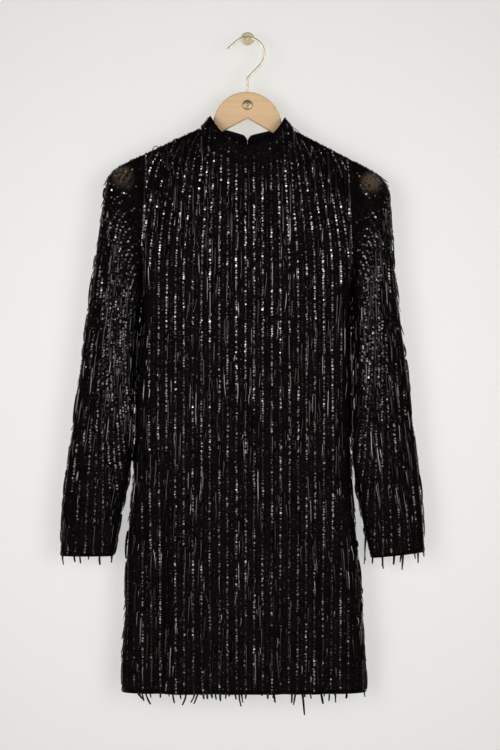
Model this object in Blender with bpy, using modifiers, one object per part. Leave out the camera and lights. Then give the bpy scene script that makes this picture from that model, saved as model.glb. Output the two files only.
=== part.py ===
"""A long-sleeved sequin dress with a stand collar, hung on a flat wooden hanger and a wall peg.

The dress is cut as a real one is: a front, two backs that meet at a centre-back seam, two
sleeves set in at upright armholes, and a stand collar open at the back. The strands that
hang below the hem and the cuffs are rooted in narrow tapes that lie just outside the cloth.

Metres, +Z up, front towards -Y. The origin is where the hook's crown bears on the peg.
"""

import math
from collections import namedtuple

import bmesh
import bpy
import numpy as np
from mathutils import Vector

# Cloth
CLOTH = 0.0016
SEAM = 0.0003
HALF_SEAM = SEAM / 2
HEM_Z = -1.043
ARMPIT_Z = -0.402
ARMHOLE_X = 0.168
SIDE_POWER = 3.2
TILT = 0.0262
CAP_END = 0.14
SLEEVE_POWER = 2.6

# Neck and shoulders, before the hanger's tilt
NECK_HALF_WIDTH = 0.0745
NECK_SIDE_Z = -0.1449
NECK_SQUARE = 0.38
NECK_BLEND = 0.055
NECK_FADE = 0.045
NECK_DROP_POWER = 1.6
SHOULDER_SLOPE = 0.493
COLLAR_TOP_HALF_WIDTH = 0.0600
COLLAR_HEIGHT = 0.027
NECK_SEAM = 0.0010

# Hanger board
BOARD_THICKNESS = 0.012
BOARD_BEVEL = 0.0015
BOARD_BELOW_CLOTH = 0.0026
ARM_WIDTH = 0.023
HEAD_RADIUS = 0.055
HEAD_Z = -0.1404
V_APEX_Z = -0.1274
RIVET_Z = -0.1067
RIVET_RADIUS = 0.008
RIVET_SHANK_RADIUS = 0.003
RIVET_SHANK_DEPTH = 0.0036
RIVET_BORE_DEPTH = 0.0043
HEAD_JOIN_X = 0.0535
ARM_ROOT_X = 0.068
ARM_BEND_X = 0.178
ARM_BEND_REACH = 0.019
ARM_END = (0.2065, -0.2385)
ARM_FOOT_X = 0.100
NOTCH = ((0.055, -0.1577), (0.012, -0.1338))

# Hook and peg
WIRE_RADIUS = 0.00225
HOOK_RADIUS = 0.0269
SHANK_DEPTH = 0.014
HOOK_TIP_TURN = 132
HOOK_TIP_LENGTH = 0.019
HOOK_END_TURN = -39.8
HOOK_NECK_Z = -0.0634
WALL_Y = 0.040
PEG_SHAFT_RADIUS = 0.002
PEG_TIP_RADIUS = 0.0045
PEG_TIP_REACH = 0.0035
PEG_SIDES = 24
BALL_RINGS = 6
# The rosette's rings, from the shaft to the wall: radius, distance from the wall, rise
PEG_ROSETTE = [
    (PEG_SHAFT_RADIUS, 0.0052, 0.0), (0.0050, 0.0046, 0.0026), (0.0092, 0.0034, 0.0067),
    (0.0108, 0.0020, 0.0083), (0.0108, 0.0, 0.0083),
]

# Fringe
TAPE_HEIGHT = 0.004
TAPE_THICKNESS = 0.0008
TAPE_ABOVE_EDGE = 0.0015
TAPE_GAP = 0.0004
HEM_TAPE_END = 0.965
CUFF_TAPE_START = 0.012
STRAND_OUT = 0.0004
HEM_WIDTH = 0.410
CUFF_WIDTH = 0.190
STRAND_WIDTH = 0.0018
STRAND_TAPER = 0.6

BodyRow = namedtuple("BodyRow", "height left right front back")
BODY_ROWS = (
    BodyRow(-0.145, -0.1680, 0.1680, 0.0400, 0.0300),
    BodyRow(-0.250, -0.1680, 0.1680, 0.0430, 0.0310),
    BodyRow(-0.340, -0.1680, 0.1680, 0.0470, 0.0310),
    BodyRow(-0.402, -0.1680, 0.1680, 0.0460, 0.0300),
    BodyRow(-0.466, -0.1715, 0.1655, 0.0430, 0.0290),
    BodyRow(-0.546, -0.1765, 0.1655, 0.0410, 0.0280),
    BodyRow(-0.626, -0.1795, 0.1635, 0.0410, 0.0280),
    BodyRow(-0.706, -0.1816, 0.1656, 0.0430, 0.0290),
    BodyRow(-0.770, -0.1880, 0.1704, 0.0440, 0.0295),
    BodyRow(-0.834, -0.1928, 0.1768, 0.0450, 0.0300),
    BodyRow(-0.898, -0.1944, 0.1816, 0.0455, 0.0300),
    BodyRow(-0.978, -0.1992, 0.1856, 0.0460, 0.0305),
    BodyRow(HEM_Z, -0.2008, 0.1896, 0.0460, 0.0305),
)

RidgeRow = namedtuple("RidgeRow", "below depth")
RIDGE_ROWS = (
    RidgeRow(0.0000, 0.0000),
    RidgeRow(0.0002, 0.0038),
    RidgeRow(0.0007, 0.0066),
    RidgeRow(0.0024, 0.0090),
    RidgeRow(0.0080, 0.0104),
    RidgeRow(0.0300, 0.0152),
    RidgeRow(0.0800, 0.0280),
    RidgeRow(0.1500, 0.0400),
    RidgeRow(0.2600, 0.0450),
)
RIDGE_FULL_DEPTH = RIDGE_ROWS[-1].depth
SHOULDER_DEPTH = RIDGE_ROWS[4].depth

Fold = namedtuple("Fold", "side top_x bottom_x top_z bottom_z depth width")
FOLDS = (
    Fold(-1, -0.1360, -0.1420, -0.560, -1.300, 0.0085, 0.013),
    Fold(-1, -0.1030, -0.1100, -0.600, -1.300, -0.0045, 0.018),
    Fold(-1, -0.0520, -0.0580, -0.900, -1.300, 0.0050, 0.011),
    Fold(-1, 0.0200, 0.0200, -0.760, -0.960, 0.0040, 0.012),
    Fold(-1, 0.0560, 0.0630, -0.900, -1.300, 0.0055, 0.011),
    Fold(-1, 0.1180, 0.1320, -0.640, -1.300, 0.0050, 0.014),
    Fold(-1, -0.0300, -0.0900, -0.250, -0.430, -0.0030, 0.026),
    Fold(-1, 0.0500, 0.0900, -0.250, -0.440, -0.0030, 0.026),
    Fold(-1, 0.1100, 0.1450, -0.300, -0.620, 0.0045, 0.012),
    Fold(-1, -0.1180, -0.1500, -0.300, -0.560, 0.0035, 0.012),
    Fold(1, -0.1250, -0.1350, -0.600, -1.300, 0.0060, 0.014),
    Fold(1, -0.0560, -0.0600, -0.780, -1.300, 0.0045, 0.013),
    Fold(1, 0.0480, 0.0560, -0.700, -1.300, 0.0050, 0.013),
    Fold(1, 0.1240, 0.1320, -0.640, -1.300, 0.0055, 0.014),
    Fold(1, -0.1100, -0.1400, -0.300, -0.540, 0.0035, 0.014),
    Fold(1, 0.1100, 0.1400, -0.300, -0.560, 0.0035, 0.014),
)

# One row for each ring of a sleeve: its two edges as seen from the front, its depth each way
# and how far forward its middle hangs. Distances in x run outwards from the middle.
SleeveRow = namedtuple("SleeveRow", "outer_x outer_z inner_x inner_z depth forward")
LEFT_SLEEVE = (
    SleeveRow(0.1680, -0.1866, 0.1680, -0.4020, 0.0400, 0.0000),
    SleeveRow(0.1840, -0.1938, 0.1690, -0.4090, 0.0395, 0.0000),
    SleeveRow(0.2010, -0.2025, 0.1700, -0.4180, 0.0385, 0.0005),
    SleeveRow(0.2140, -0.2120, 0.1712, -0.4300, 0.0375, 0.0010),
    SleeveRow(0.2222, -0.2240, 0.1726, -0.4450, 0.0365, 0.0020),
    SleeveRow(0.2268, -0.2400, 0.1746, -0.4662, 0.0350, 0.0030),
    SleeveRow(0.2300, -0.2650, 0.1765, -0.4900, 0.0335, 0.0040),
    SleeveRow(0.2346, -0.2980, 0.1780, -0.5160, 0.0320, 0.0050),
    SleeveRow(0.2402, -0.3400, 0.1796, -0.5462, 0.0305, 0.0060),
    SleeveRow(0.2474, -0.3900, 0.1812, -0.5800, 0.0290, 0.0065),
    SleeveRow(0.2552, -0.4450, 0.1822, -0.6120, 0.0280, 0.0070),
    SleeveRow(0.2640, -0.5130, 0.1832, -0.6450, 0.0270, 0.0070),
    SleeveRow(0.2728, -0.5782, 0.1862, -0.6850, 0.0260, 0.0070),
    SleeveRow(0.2812, -0.6422, 0.1930, -0.7180, 0.0250, 0.0070),
    SleeveRow(0.2886, -0.7000, 0.2000, -0.7500, 0.0245, 0.0070),
    SleeveRow(0.2948, -0.7620, 0.2070, -0.7880, 0.0240, 0.0070),
    SleeveRow(0.2984, -0.8262, 0.2136, -0.8262, 0.0240, 0.0070),
)
RIGHT_SLEEVE = (
    SleeveRow(0.1680, -0.1954, 0.1680, -0.4020, 0.0400, 0.0000),
    SleeveRow(0.1830, -0.2030, 0.1690, -0.4090, 0.0395, 0.0000),
    SleeveRow(0.1980, -0.2110, 0.1694, -0.4180, 0.0385, 0.0005),
    SleeveRow(0.2110, -0.2205, 0.1696, -0.4300, 0.0375, 0.0010),
    SleeveRow(0.2200, -0.2320, 0.1698, -0.4450, 0.0365, 0.0020),
    SleeveRow(0.2244, -0.2480, 0.1700, -0.4662, 0.0350, 0.0030),
    SleeveRow(0.2264, -0.2700, 0.1700, -0.4900, 0.0335, 0.0040),
    SleeveRow(0.2290, -0.3050, 0.1700, -0.5160, 0.0320, 0.0050),
    SleeveRow(0.2322, -0.3500, 0.1698, -0.5462, 0.0305, 0.0060),
    SleeveRow(0.2376, -0.4022, 0.1690, -0.5800, 0.0290, 0.0065),
    SleeveRow(0.2448, -0.4600, 0.1680, -0.6120, 0.0280, 0.0070),
    SleeveRow(0.2530, -0.5260, 0.1672, -0.6450, 0.0270, 0.0070),
    SleeveRow(0.2596, -0.5850, 0.1698, -0.6850, 0.0260, 0.0070),
    SleeveRow(0.2664, -0.6422, 0.1746, -0.7180, 0.0250, 0.0070),
    SleeveRow(0.2722, -0.6950, 0.1806, -0.7500, 0.0245, 0.0070),
    SleeveRow(0.2784, -0.7540, 0.1876, -0.7900, 0.0240, 0.0070),
    SleeveRow(0.2824, -0.8198, 0.1976, -0.8294, 0.0240, 0.0070),
)
SleeveFold = namedtuple("SleeveFold", "place depth width start")
SLEEVE_FOLDS = (
    SleeveFold(0.14, 0.0030, 0.045, 0.30),
    SleeveFold(0.31, 0.0040, 0.050, 0.45),
    SleeveFold(0.66, 0.0035, 0.050, 0.35),
    SleeveFold(0.84, 0.0030, 0.045, 0.50),
)

# The collar's top edge, by the turn in degrees from the centre front
CollarRow = namedtuple("CollarRow", "turn top_z")
COLLAR_ROWS = (
    CollarRow(0, -0.1725),
    CollarRow(14, -0.1690),
    CollarRow(27, -0.1612),
    CollarRow(40, -0.1545),
    CollarRow(54, -0.1440),
    CollarRow(67, -0.1335),
    CollarRow(80, -0.1272),
    CollarRow(87, -0.1262),
    CollarRow(90, -0.1261),
    CollarRow(93, -0.1266),
    CollarRow(100, -0.1290),
    CollarRow(113, -0.1340),
    CollarRow(128, -0.1398),
    CollarRow(144, -0.1442),
    CollarRow(158, -0.1475),
    CollarRow(170, -0.1508),
    CollarRow(176, -0.1535),
    CollarRow(180, -0.1600),
)
NeckSide = namedtuple("NeckSide", "base_depth base_drop top_depth")
NECK_FRONT = NeckSide(0.0405, 0.0556, 0.0360)
NECK_BACK = NeckSide(0.0265, 0.0331, 0.0205)

# Strands below each edge: place along the tape from 0 to 1, and length
Strand = namedtuple("Strand", "place length lean")
HEM_FRONT_STRANDS = (
    Strand(0.103, 0.008, 0.004), Strand(0.117, 0.011, 0.002), Strand(0.131, 0.016, 0.004),
    Strand(0.186, 0.006, 0.000), Strand(0.236, 0.013, 0.002), Strand(0.286, 0.016, -0.003),
    Strand(0.317, 0.012, -0.003), Strand(0.331, 0.014, -0.004), Strand(0.350, 0.007, 0.000),
    Strand(0.364, 0.007, 0.000), Strand(0.378, 0.006, 0.001), Strand(0.394, 0.008, 0.001),
    Strand(0.414, 0.010, 0.000), Strand(0.434, 0.006, 0.000), Strand(0.468, 0.007, 0.001),
    Strand(0.484, 0.018, 0.001), Strand(0.507, 0.006, 0.000), Strand(0.588, 0.006, 0.000),
    Strand(0.610, 0.012, 0.001), Strand(0.680, 0.013, 0.000), Strand(0.694, 0.016, -0.002),
    Strand(0.718, 0.032, 0.002), Strand(0.751, 0.006, 0.000), Strand(0.788, 0.015, 0.002),
    Strand(0.820, 0.011, 0.000), Strand(0.844, 0.013, 0.000), Strand(0.884, 0.007, 0.000),
    Strand(0.962, 0.007, 0.000),
)
HEM_BACK_STRANDS = (
    Strand(0.080, 0.011, 0.0), Strand(0.125, 0.015, 0.001), Strand(0.160, 0.009, 0.0),
    Strand(0.205, 0.013, -0.001), Strand(0.248, 0.018, 0.0), Strand(0.281, 0.010, 0.0),
    Strand(0.325, 0.012, 0.001), Strand(0.352, 0.016, 0.0), Strand(0.401, 0.009, 0.0),
    Strand(0.446, 0.014, -0.001), Strand(0.489, 0.024, 0.001), Strand(0.533, 0.010, 0.0),
    Strand(0.571, 0.013, 0.0), Strand(0.618, 0.016, -0.001), Strand(0.655, 0.009, 0.0),
    Strand(0.699, 0.012, 0.001), Strand(0.741, 0.015, 0.0), Strand(0.784, 0.010, 0.0),
    Strand(0.822, 0.013, -0.001), Strand(0.861, 0.011, 0.0), Strand(0.905, 0.016, 0.0),
)
CUFF_LEFT_STRANDS = (
    Strand(0.06, 0.011, 0.0), Strand(0.15, 0.014, 0.001), Strand(0.24, 0.008, 0.0),
    Strand(0.35, 0.012, -0.001), Strand(0.44, 0.009, 0.0), Strand(0.58, 0.013, 0.0),
    Strand(0.71, 0.010, 0.001), Strand(0.86, 0.012, 0.0),
)
CUFF_RIGHT_STRANDS = (
    Strand(0.05, 0.010, 0.0), Strand(0.13, 0.021, 0.001), Strand(0.22, 0.017, 0.0),
    Strand(0.29, 0.027, -0.001), Strand(0.38, 0.012, 0.0), Strand(0.46, 0.009, 0.0),
    Strand(0.61, 0.015, 0.0), Strand(0.74, 0.010, 0.001), Strand(0.88, 0.013, 0.0),
)

SHOULDER_ACROSS = (-1.0, -0.998, -0.985, -0.95, -0.87, -0.76, -0.65, -0.54)
SLEEVE_TURNS = (0.0, 0.012, 0.030, 0.070, 0.120, 0.180, 0.240, 0.300, 0.360, 0.420, 0.470)
UPPER_STEPS = 8
LOWER_STEPS = 13
COLLAR_STEPS = 3


def smooth(stations, values, at):
    """The value at one station on the smooth curve through all of them."""
    slopes = np.gradient(values, stations, axis=0)
    last = len(stations) - 2
    k = int(np.clip(np.searchsorted(stations, at) - 1, 0, last))
    width = stations[k + 1] - stations[k]
    s = (at - stations[k]) / width
    start = (2 * s**3 - 3 * s**2 + 1) * values[k] + (s**3 - 2 * s**2 + s) * width * slopes[k]
    end = (3 * s**2 - 2 * s**3) * values[k + 1] + (s**3 - s**2) * width * slopes[k + 1]
    return start + end


def body_row(height):
    """The body's left and right edges and its two depths at one height."""
    rows = np.array(BODY_ROWS[::-1])
    clamped = min(max(height, rows[0, 0]), rows[-1, 0])
    return BodyRow(height, *smooth(rows[:, 0], rows[:, 1:], clamped))


def ridge_depth(below):
    """How far the cloth stands out from the shoulder's ridge, a distance below it."""
    rows = np.array(RIDGE_ROWS)
    return float(np.interp(below, rows[:, 0], rows[:, 1]))


def stand_out(below, full):
    """How far the cloth stands out below the ridge where it is to reach a full depth."""
    depth = ridge_depth(below)
    if depth <= SHOULDER_DEPTH:
        return depth
    share = (full - SHOULDER_DEPTH) / (RIDGE_FULL_DEPTH - SHOULDER_DEPTH)
    return SHOULDER_DEPTH + (depth - SHOULDER_DEPTH) * share


def shoulder_z(x):
    """Height of the shoulder's ridge, with the hanger's tilt."""
    return NECK_SIDE_Z - (abs(x) - NECK_HALF_WIDTH) * SHOULDER_SLOPE - x * TILT


def neck_side(side):
    """The neck's sizes at the front (-1) or at the back (1)."""
    return NECK_FRONT if side < 0 else NECK_BACK


def neck_seam(side, bow):
    """Depth and height of the neck seam: bow is 0 at the shoulder and 1 at the middle."""
    neck = neck_side(side)
    return neck.base_depth * bow**NECK_SQUARE, NECK_SIDE_Z - neck.base_drop * bow**NECK_DROP_POWER


def top_edge(side, x):
    """Depth and height of a panel's top edge: the shoulder seam, then the neck seam."""
    if abs(x) >= NECK_HALF_WIDTH:
        return 0.0, shoulder_z(x)
    depth, z = neck_seam(side, math.sqrt(1 - (x / NECK_HALF_WIDTH) ** 2))
    return depth, z - x * TILT


def eased(share):
    """A share from 0 to 1 with soft ends."""
    held = min(max(share, 0.0), 1.0)
    return held * held * (3 - 2 * held)


def neck_reach(side, x):
    """How far the neck holds the cloth out below its seam, fading along the shoulder."""
    beyond = max(abs(x) - NECK_HALF_WIDTH, 0.0)
    return neck_side(side).base_depth * math.exp(-((beyond / NECK_FADE) ** 2))


def closing(below, span):
    """How far an armhole is still open below its top, from 1 there to 0 at the underarm."""
    return math.sqrt(1 - min(max(below / span, 0.0), 1.0) ** 3)


def armhole_closing(x, height):
    """How far the armhole on this side is still open at one height."""
    top = shoulder_z(math.copysign(ARMHOLE_X, x))
    return closing(top - height, top - ARMPIT_Z)


def fold_depth(side, x, height):
    """How far the folds draw the cloth in at one place."""
    total = 0.0
    for fold in FOLDS:
        if fold.side != side or not fold.bottom_z < height < fold.top_z:
            continue
        along = (height - fold.top_z) / (fold.bottom_z - fold.top_z)
        middle = fold.top_x + (fold.bottom_x - fold.top_x) * along
        fade = math.sin(math.pi * along)
        total += fold.depth * fade * math.exp(-(((x - middle) / fold.width) ** 2))
    return total


def body_point(side, across, height):
    """A point on the body's outside: across runs from -1 to 1 between the side seams."""
    row = body_row(height)
    x = across * (row.right if across >= 0 else -row.left)
    full = row.front if side < 0 else row.back
    rounding = (1 - min(abs(across), 1.0) ** SIDE_POWER) ** (1 / SIDE_POWER)
    full -= fold_depth(side, x, height) * rounding
    if height <= ARMPIT_Z:
        return Vector((x, side * max(full * rounding, HALF_SEAM), height))
    start, top = top_edge(side, x)
    start += (neck_reach(side, x) - start) * eased((top - height) / NECK_BLEND)
    inner = start + stand_out(top - height, full) * (1 - start / full)
    outer = start + ridge_depth(top - height) * (1 - start / RIDGE_FULL_DEPTH)
    outer *= armhole_closing(x, height)
    depth = outer + (inner - outer) * rounding
    return Vector((x, side * max(depth, HALF_SEAM), height))


def body_heights(side, across):
    """The heights of one column's rows: close together over the ridge, then even."""
    x = ARMHOLE_X * across
    top = top_edge(side, x)[1]
    heights = [top - row.below for row in RIDGE_ROWS[:5]]
    first = heights[-1]
    heights += [first + (ARMPIT_Z - first) * k / UPPER_STEPS for k in range(1, UPPER_STEPS + 1)]
    heights += [ARMPIT_Z + (HEM_Z - ARMPIT_Z) * k / LOWER_STEPS for k in range(1, LOWER_STEPS + 1)]
    return heights


def sleeve_ring(rows, t):
    """The edges, depth and middle of a sleeve at t, from 0 at the armhole to 1 at the cuff."""
    table = np.array(rows)
    stations = np.linspace(0, 1, len(rows))
    return SleeveRow(*smooth(stations, table, t))


def sleeve_point(sign, rows, turn, t):
    """A point on a sleeve's outside: turn runs once round from the shoulder, front first."""
    ring = sleeve_ring(rows, t)
    angle = 2 * math.pi * turn
    inward = (1 - math.cos(angle)) / 2
    side = -1 if math.sin(angle) >= 0 else 1
    z = ring.outer_z + (ring.inner_z - ring.outer_z) * inward
    x = ring.outer_x + (ring.inner_x - ring.outer_x) * inward
    tube = ring.depth * (1 - abs(1 - 2 * inward) ** SLEEVE_POWER) ** (1 / SLEEVE_POWER)
    depth = tube
    if t < CAP_END:
        below = ring.outer_z - z
        at_armhole = ridge_depth(below) * closing(below, ring.outer_z - ring.inner_z)
        depth = at_armhole + (tube - at_armhole) * t / CAP_END
    for fold in SLEEVE_FOLDS:
        strength = min(1.0, max(0.0, (t - fold.start) / 0.2)) * min(1.0, (1.15 - t) / 0.3)
        depth -= fold.depth * strength * math.exp(-(((turn - fold.place) / fold.width) ** 2))
    return Vector((sign * x, side * max(depth, 0.0) - ring.forward, z))


def collar_point(turn, up):
    """A point on the collar's outside: turn in degrees from the centre front, up from 0 to 1."""
    sine, cosine = math.sin(math.radians(turn)), math.cos(math.radians(turn))
    side = -1 if cosine >= 0 else 1
    neck = neck_side(side)
    bow = abs(cosine)
    base_x = NECK_HALF_WIDTH * sine
    depth, base_z = neck_seam(side, bow)
    base = Vector((base_x, side * depth, base_z))
    table = np.array(COLLAR_ROWS)
    top_z = float(smooth(table[:, 0], table[:, 1], abs(turn)))
    top_y = side * neck.top_depth * bow**NECK_SQUARE
    top = Vector((COLLAR_TOP_HALF_WIDTH * sine, top_y, top_z))
    point = base.lerp(top, up)
    point.z -= point.x * TILT
    return point


def material(name, colour, roughness, metallic=0.0):
    """A Principled material."""
    made = bpy.data.materials.new(name)
    made.use_nodes = True
    shader = made.node_tree.nodes["Principled BSDF"]
    shader.inputs["Base Color"].default_value = (*colour, 1.0)
    shader.inputs["Roughness"].default_value = roughness
    shader.inputs["Metallic"].default_value = metallic
    return made


def place(collection, name, mesh, finish):
    """A new object in the collection, with one material."""
    obj = bpy.data.objects.new(name, mesh)
    mesh.materials.append(finish)
    collection.objects.link(obj)
    return obj


def finished(obj, keep=None, level=0):
    """Applies an object's modifiers, then holds each point on its own side of the seams.

    Args:
        keep: moves one point back over a seam that it crossed.
        level: how many points of the first edge keep their inside level with their outside.
    """
    graph = bpy.context.evaluated_depsgraph_get()
    mesh = bpy.data.meshes.new_from_object(obj.evaluated_get(graph))
    outside = len(obj.data.vertices)
    for k in range(level):
        mesh.vertices[outside + k].co.z = mesh.vertices[k].co.z
    obj.modifiers.clear()
    obj.data = mesh
    if keep:
        for vertex in mesh.vertices:
            vertex.co = keep(vertex.co)
    mesh.shade_smooth()
    return obj


def grid_surface(name, rows, closed, outwards):
    """An open sheet through rows of points, facing away from a line or point inside it."""
    mesh = bpy.data.meshes.new(name)
    bm = bmesh.new()
    verts = [[bm.verts.new(point) for point in row] for row in rows]
    wide = len(rows[0])
    for lower, upper in zip(verts, verts[1:]):
        for k in range(wide if closed else wide - 1):
            n = (k + 1) % wide
            bm.faces.new((lower[k], lower[n], upper[n], upper[k]))
    bm.normal_update()
    facing = sum(face.normal.dot(face.calc_center_median() - outwards(face)) for face in bm.faces)
    if facing < 0:
        bmesh.ops.reverse_faces(bm, faces=bm.faces)
    bm.to_mesh(mesh)
    bm.free()
    return mesh


def cloth(collection, name, rows, closed, outwards, finish, keep, level=0):
    """A wall of cloth whose outside is the sheet through the rows."""
    obj = place(collection, name, grid_surface(name, rows, closed, outwards), finish)
    wall = obj.modifiers.new("wall", "SOLIDIFY")
    wall.thickness = CLOTH
    wall.offset = -1
    return finished(obj, keep, level)


def middle_line(face):
    """The nearest point on the body's upright middle line."""
    return Vector((0.0, 0.0, face.calc_center_median().z))


def neck_across(first, last):
    """Where the collar's stations between two turns lie across a panel."""
    turns = [row.turn for row in COLLAR_ROWS if first <= row.turn <= last]
    return [-NECK_HALF_WIDTH / ARMHOLE_X * math.sin(math.radians(turn)) for turn in turns]


FRONT_ACROSS = SHOULDER_ACROSS + tuple(neck_across(0, 90)[::-1])
BACK_ACROSS = SHOULDER_ACROSS + tuple(neck_across(90, 180))


def panel_rows(side, fractions):
    """Rows of points for a body panel, from the top edge to the hem."""
    columns = []
    for across in fractions:
        columns.append([body_point(side, across, z) for z in body_heights(side, across)])
    return [list(row) for row in zip(*columns)]


def within_armholes(co):
    """Keeps a body point inside the armholes' planes, above the underarm."""
    limit = ARMHOLE_X - HALF_SEAM
    if co.z > ARMPIT_Z - SEAM:
        co.x = min(max(co.x, -limit), limit)
    return co


def make_front(collection, finish):
    """The front, cut in one piece."""
    fractions = FRONT_ACROSS + tuple(-a for a in FRONT_ACROSS[-2::-1])

    def keep(co):
        co.y = min(co.y, -HALF_SEAM)
        return within_armholes(co)

    cloth(collection, "front_panel", panel_rows(-1, fractions), False, middle_line, finish, keep)


def make_back(collection, name, sign, finish):
    """One back, from the centre-back seam to its side seam."""
    fractions = tuple(sign * -a for a in BACK_ACROSS)

    def keep(co):
        co.y = max(co.y, HALF_SEAM)
        co.x = sign * max(sign * co.x, HALF_SEAM)
        return within_armholes(co)

    cloth(collection, name, panel_rows(1, fractions), False, middle_line, finish, keep)


SLEEVE_ROUND = SLEEVE_TURNS + (0.5,) + tuple(1 - turn for turn in SLEEVE_TURNS[:0:-1])


def make_sleeve(collection, name, sign, rows, finish):
    """One sleeve, a tube from its armhole to its cuff."""
    count = len(rows)
    stations = [k / (count - 1) for k in range(count)]
    rings = []
    for t in stations:
        rings.append([sleeve_point(sign, rows, turn, t) for turn in SLEEVE_ROUND])

    def middle(face):
        centre = face.calc_center_median()
        nearest = min(rings, key=lambda ring: (sum(ring, Vector()) / len(ring) - centre).length)
        return sum(nearest, Vector()) / len(nearest)

    def keep(co):
        co.x = sign * max(sign * co.x, ARMHOLE_X + HALF_SEAM)
        return co

    cloth(collection, name, rings, True, middle, finish, keep)


def make_collar(collection, finish):
    """The stand collar, open at the centre back."""
    turns = [row.turn for row in COLLAR_ROWS]
    turns = [-turn for turn in turns[:0:-1]] + turns
    gap = NECK_SEAM / COLLAR_HEIGHT
    rows = []
    for step in range(COLLAR_STEPS + 1):
        up = gap + (1 - gap) * step / COLLAR_STEPS
        rows.append([collar_point(turn, up) for turn in turns])

    def keep(co):
        if co.y > 0 and abs(co.x) < HALF_SEAM:
            co.x = math.copysign(HALF_SEAM, co.x)
        return co

    for row in rows:
        row[0].x = -HALF_SEAM
        row[-1].x = HALF_SEAM
    cloth(collection, "collar", rows, False, middle_line, finish, keep, len(turns))


def cylinder(name, radius, start, end, segments):
    """A mesh cylinder between two points."""
    mesh = bpy.data.meshes.new(name)
    bm = bmesh.new()
    start, end = Vector(start), Vector(end)
    turn = Vector((0, 0, 1)).rotation_difference(end - start).to_matrix().to_4x4()
    turn.translation = (start + end) / 2
    bmesh.ops.create_cone(
        bm, cap_ends=True, segments=segments, radius1=radius, radius2=radius,
        depth=(end - start).length, matrix=turn,
    )
    bm.to_mesh(mesh)
    bm.free()
    return mesh


def bore(collection, target, name, radius, start, end):
    """Cuts a round hole in a mesh object."""
    cutter = bpy.data.objects.new(name, cylinder(name, radius, start, end, 24))
    cutter.hide_render = True
    cutter.display_type = "WIRE"
    collection.objects.link(cutter)
    cut = target.modifiers.new(name, "BOOLEAN")
    cut.operation = "DIFFERENCE"
    cut.object = cutter


def arm_edge(x):
    """Height of the board's upper edge at a distance from the middle, before the tilt."""
    return NECK_SIDE_Z - BOARD_BELOW_CLOTH - (x - NECK_HALF_WIDTH) * SHOULDER_SLOPE


def board_outline():
    """Half of the board's outline, from the top of the head round the arm to the V."""
    slope = math.atan(SHOULDER_SLOPE)
    down = Vector((-math.sin(slope), -math.cos(slope)))
    half = ARM_WIDTH / 2
    bend = Vector((ARM_BEND_X, arm_edge(ARM_BEND_X))) + down * half
    control = bend + Vector((math.cos(slope), -math.sin(slope))) * ARM_BEND_REACH
    end = Vector(ARM_END)
    centre = []
    for k in range(5):
        s = k / 4
        centre.append(bend * (1 - s) ** 2 + control * (2 * s * (1 - s)) + end * s**2)
    heading = (end - control).normalized()
    across = Vector((-heading.y, heading.x))
    upper, lower = [], []
    for k, point in enumerate(centre[:-1]):
        ahead = (centre[k + 1] - point).normalized()
        normal = Vector((-ahead.y, ahead.x))
        upper.append(point + normal * half)
        lower.append(point - normal * half)
    tip = []
    for k in range(9):
        angle = math.pi / 2 - math.pi * k / 8
        tip.append(end + across * (half * math.sin(angle)) + heading * (half * math.cos(angle)))
    start = math.atan2(arm_edge(HEAD_JOIN_X) - HEAD_Z, HEAD_JOIN_X)
    head = []
    for k in range(9):
        angle = math.pi / 2 + (start - math.pi / 2) * k / 8
        head.append(Vector((HEAD_RADIUS * math.cos(angle), HEAD_Z + HEAD_RADIUS * math.sin(angle))))
    arm_root = Vector((ARM_ROOT_X, arm_edge(ARM_ROOT_X)))
    arm_foot = Vector((ARM_FOOT_X, arm_edge(ARM_FOOT_X))) + down * ARM_WIDTH
    notch = [arm_foot] + [Vector(point) for point in NOTCH]
    return head + [arm_root] + upper + tip + lower[::-1] + notch + [Vector((0.0, V_APEX_Z))]


def make_board(collection, cutters, finish):
    """The flat wooden hanger, bored for the hook's shank and for the rivet."""
    half = board_outline()
    points = half + [Vector((-p.x, p.y)) for p in half[-2:0:-1]]
    curve = bpy.data.curves.new("hanger_board", "CURVE")
    curve.dimensions = "2D"
    curve.fill_mode = "BOTH"
    curve.extrude = BOARD_THICKNESS / 2 - BOARD_BEVEL
    curve.bevel_depth = BOARD_BEVEL
    curve.offset = -BOARD_BEVEL
    curve.bevel_resolution = 0
    spline = curve.splines.new("POLY")
    spline.points.add(len(points) - 1)
    for knot, p in zip(spline.points, points):
        knot.co = (p.x, p.y - p.x * TILT, 0.0, 1.0)
    spline.use_cyclic_u = True
    drawn = bpy.data.objects.new("hanger_outline", curve)
    drawn.rotation_euler.x = math.pi / 2
    collection.objects.link(drawn)
    bpy.context.view_layer.update()
    graph = bpy.context.evaluated_depsgraph_get()
    mesh = bpy.data.meshes.new_from_object(drawn.evaluated_get(graph))
    mesh.transform(drawn.matrix_world)
    bpy.data.objects.remove(drawn)
    bm = bmesh.new()
    bm.from_mesh(mesh)
    bmesh.ops.remove_doubles(bm, verts=bm.verts, dist=0.00001)
    bmesh.ops.recalc_face_normals(bm, faces=bm.faces)
    bm.to_mesh(mesh)
    bm.free()
    mesh.materials.clear()
    board = place(collection, "hanger_board", mesh, finish)
    head_top = HEAD_Z + HEAD_RADIUS
    bore(cutters, board, "shank_bore", WIRE_RADIUS + SEAM,
         (0, 0, head_top - SHANK_DEPTH - SEAM), (0, 0, head_top + 0.01))
    front = -BOARD_THICKNESS / 2
    bore(cutters, board, "rivet_bore", RIVET_SHANK_RADIUS + SEAM, (0, front - 0.01, RIVET_Z),
         (0, front + RIVET_BORE_DEPTH, RIVET_Z))
    return finished(board)


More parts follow.
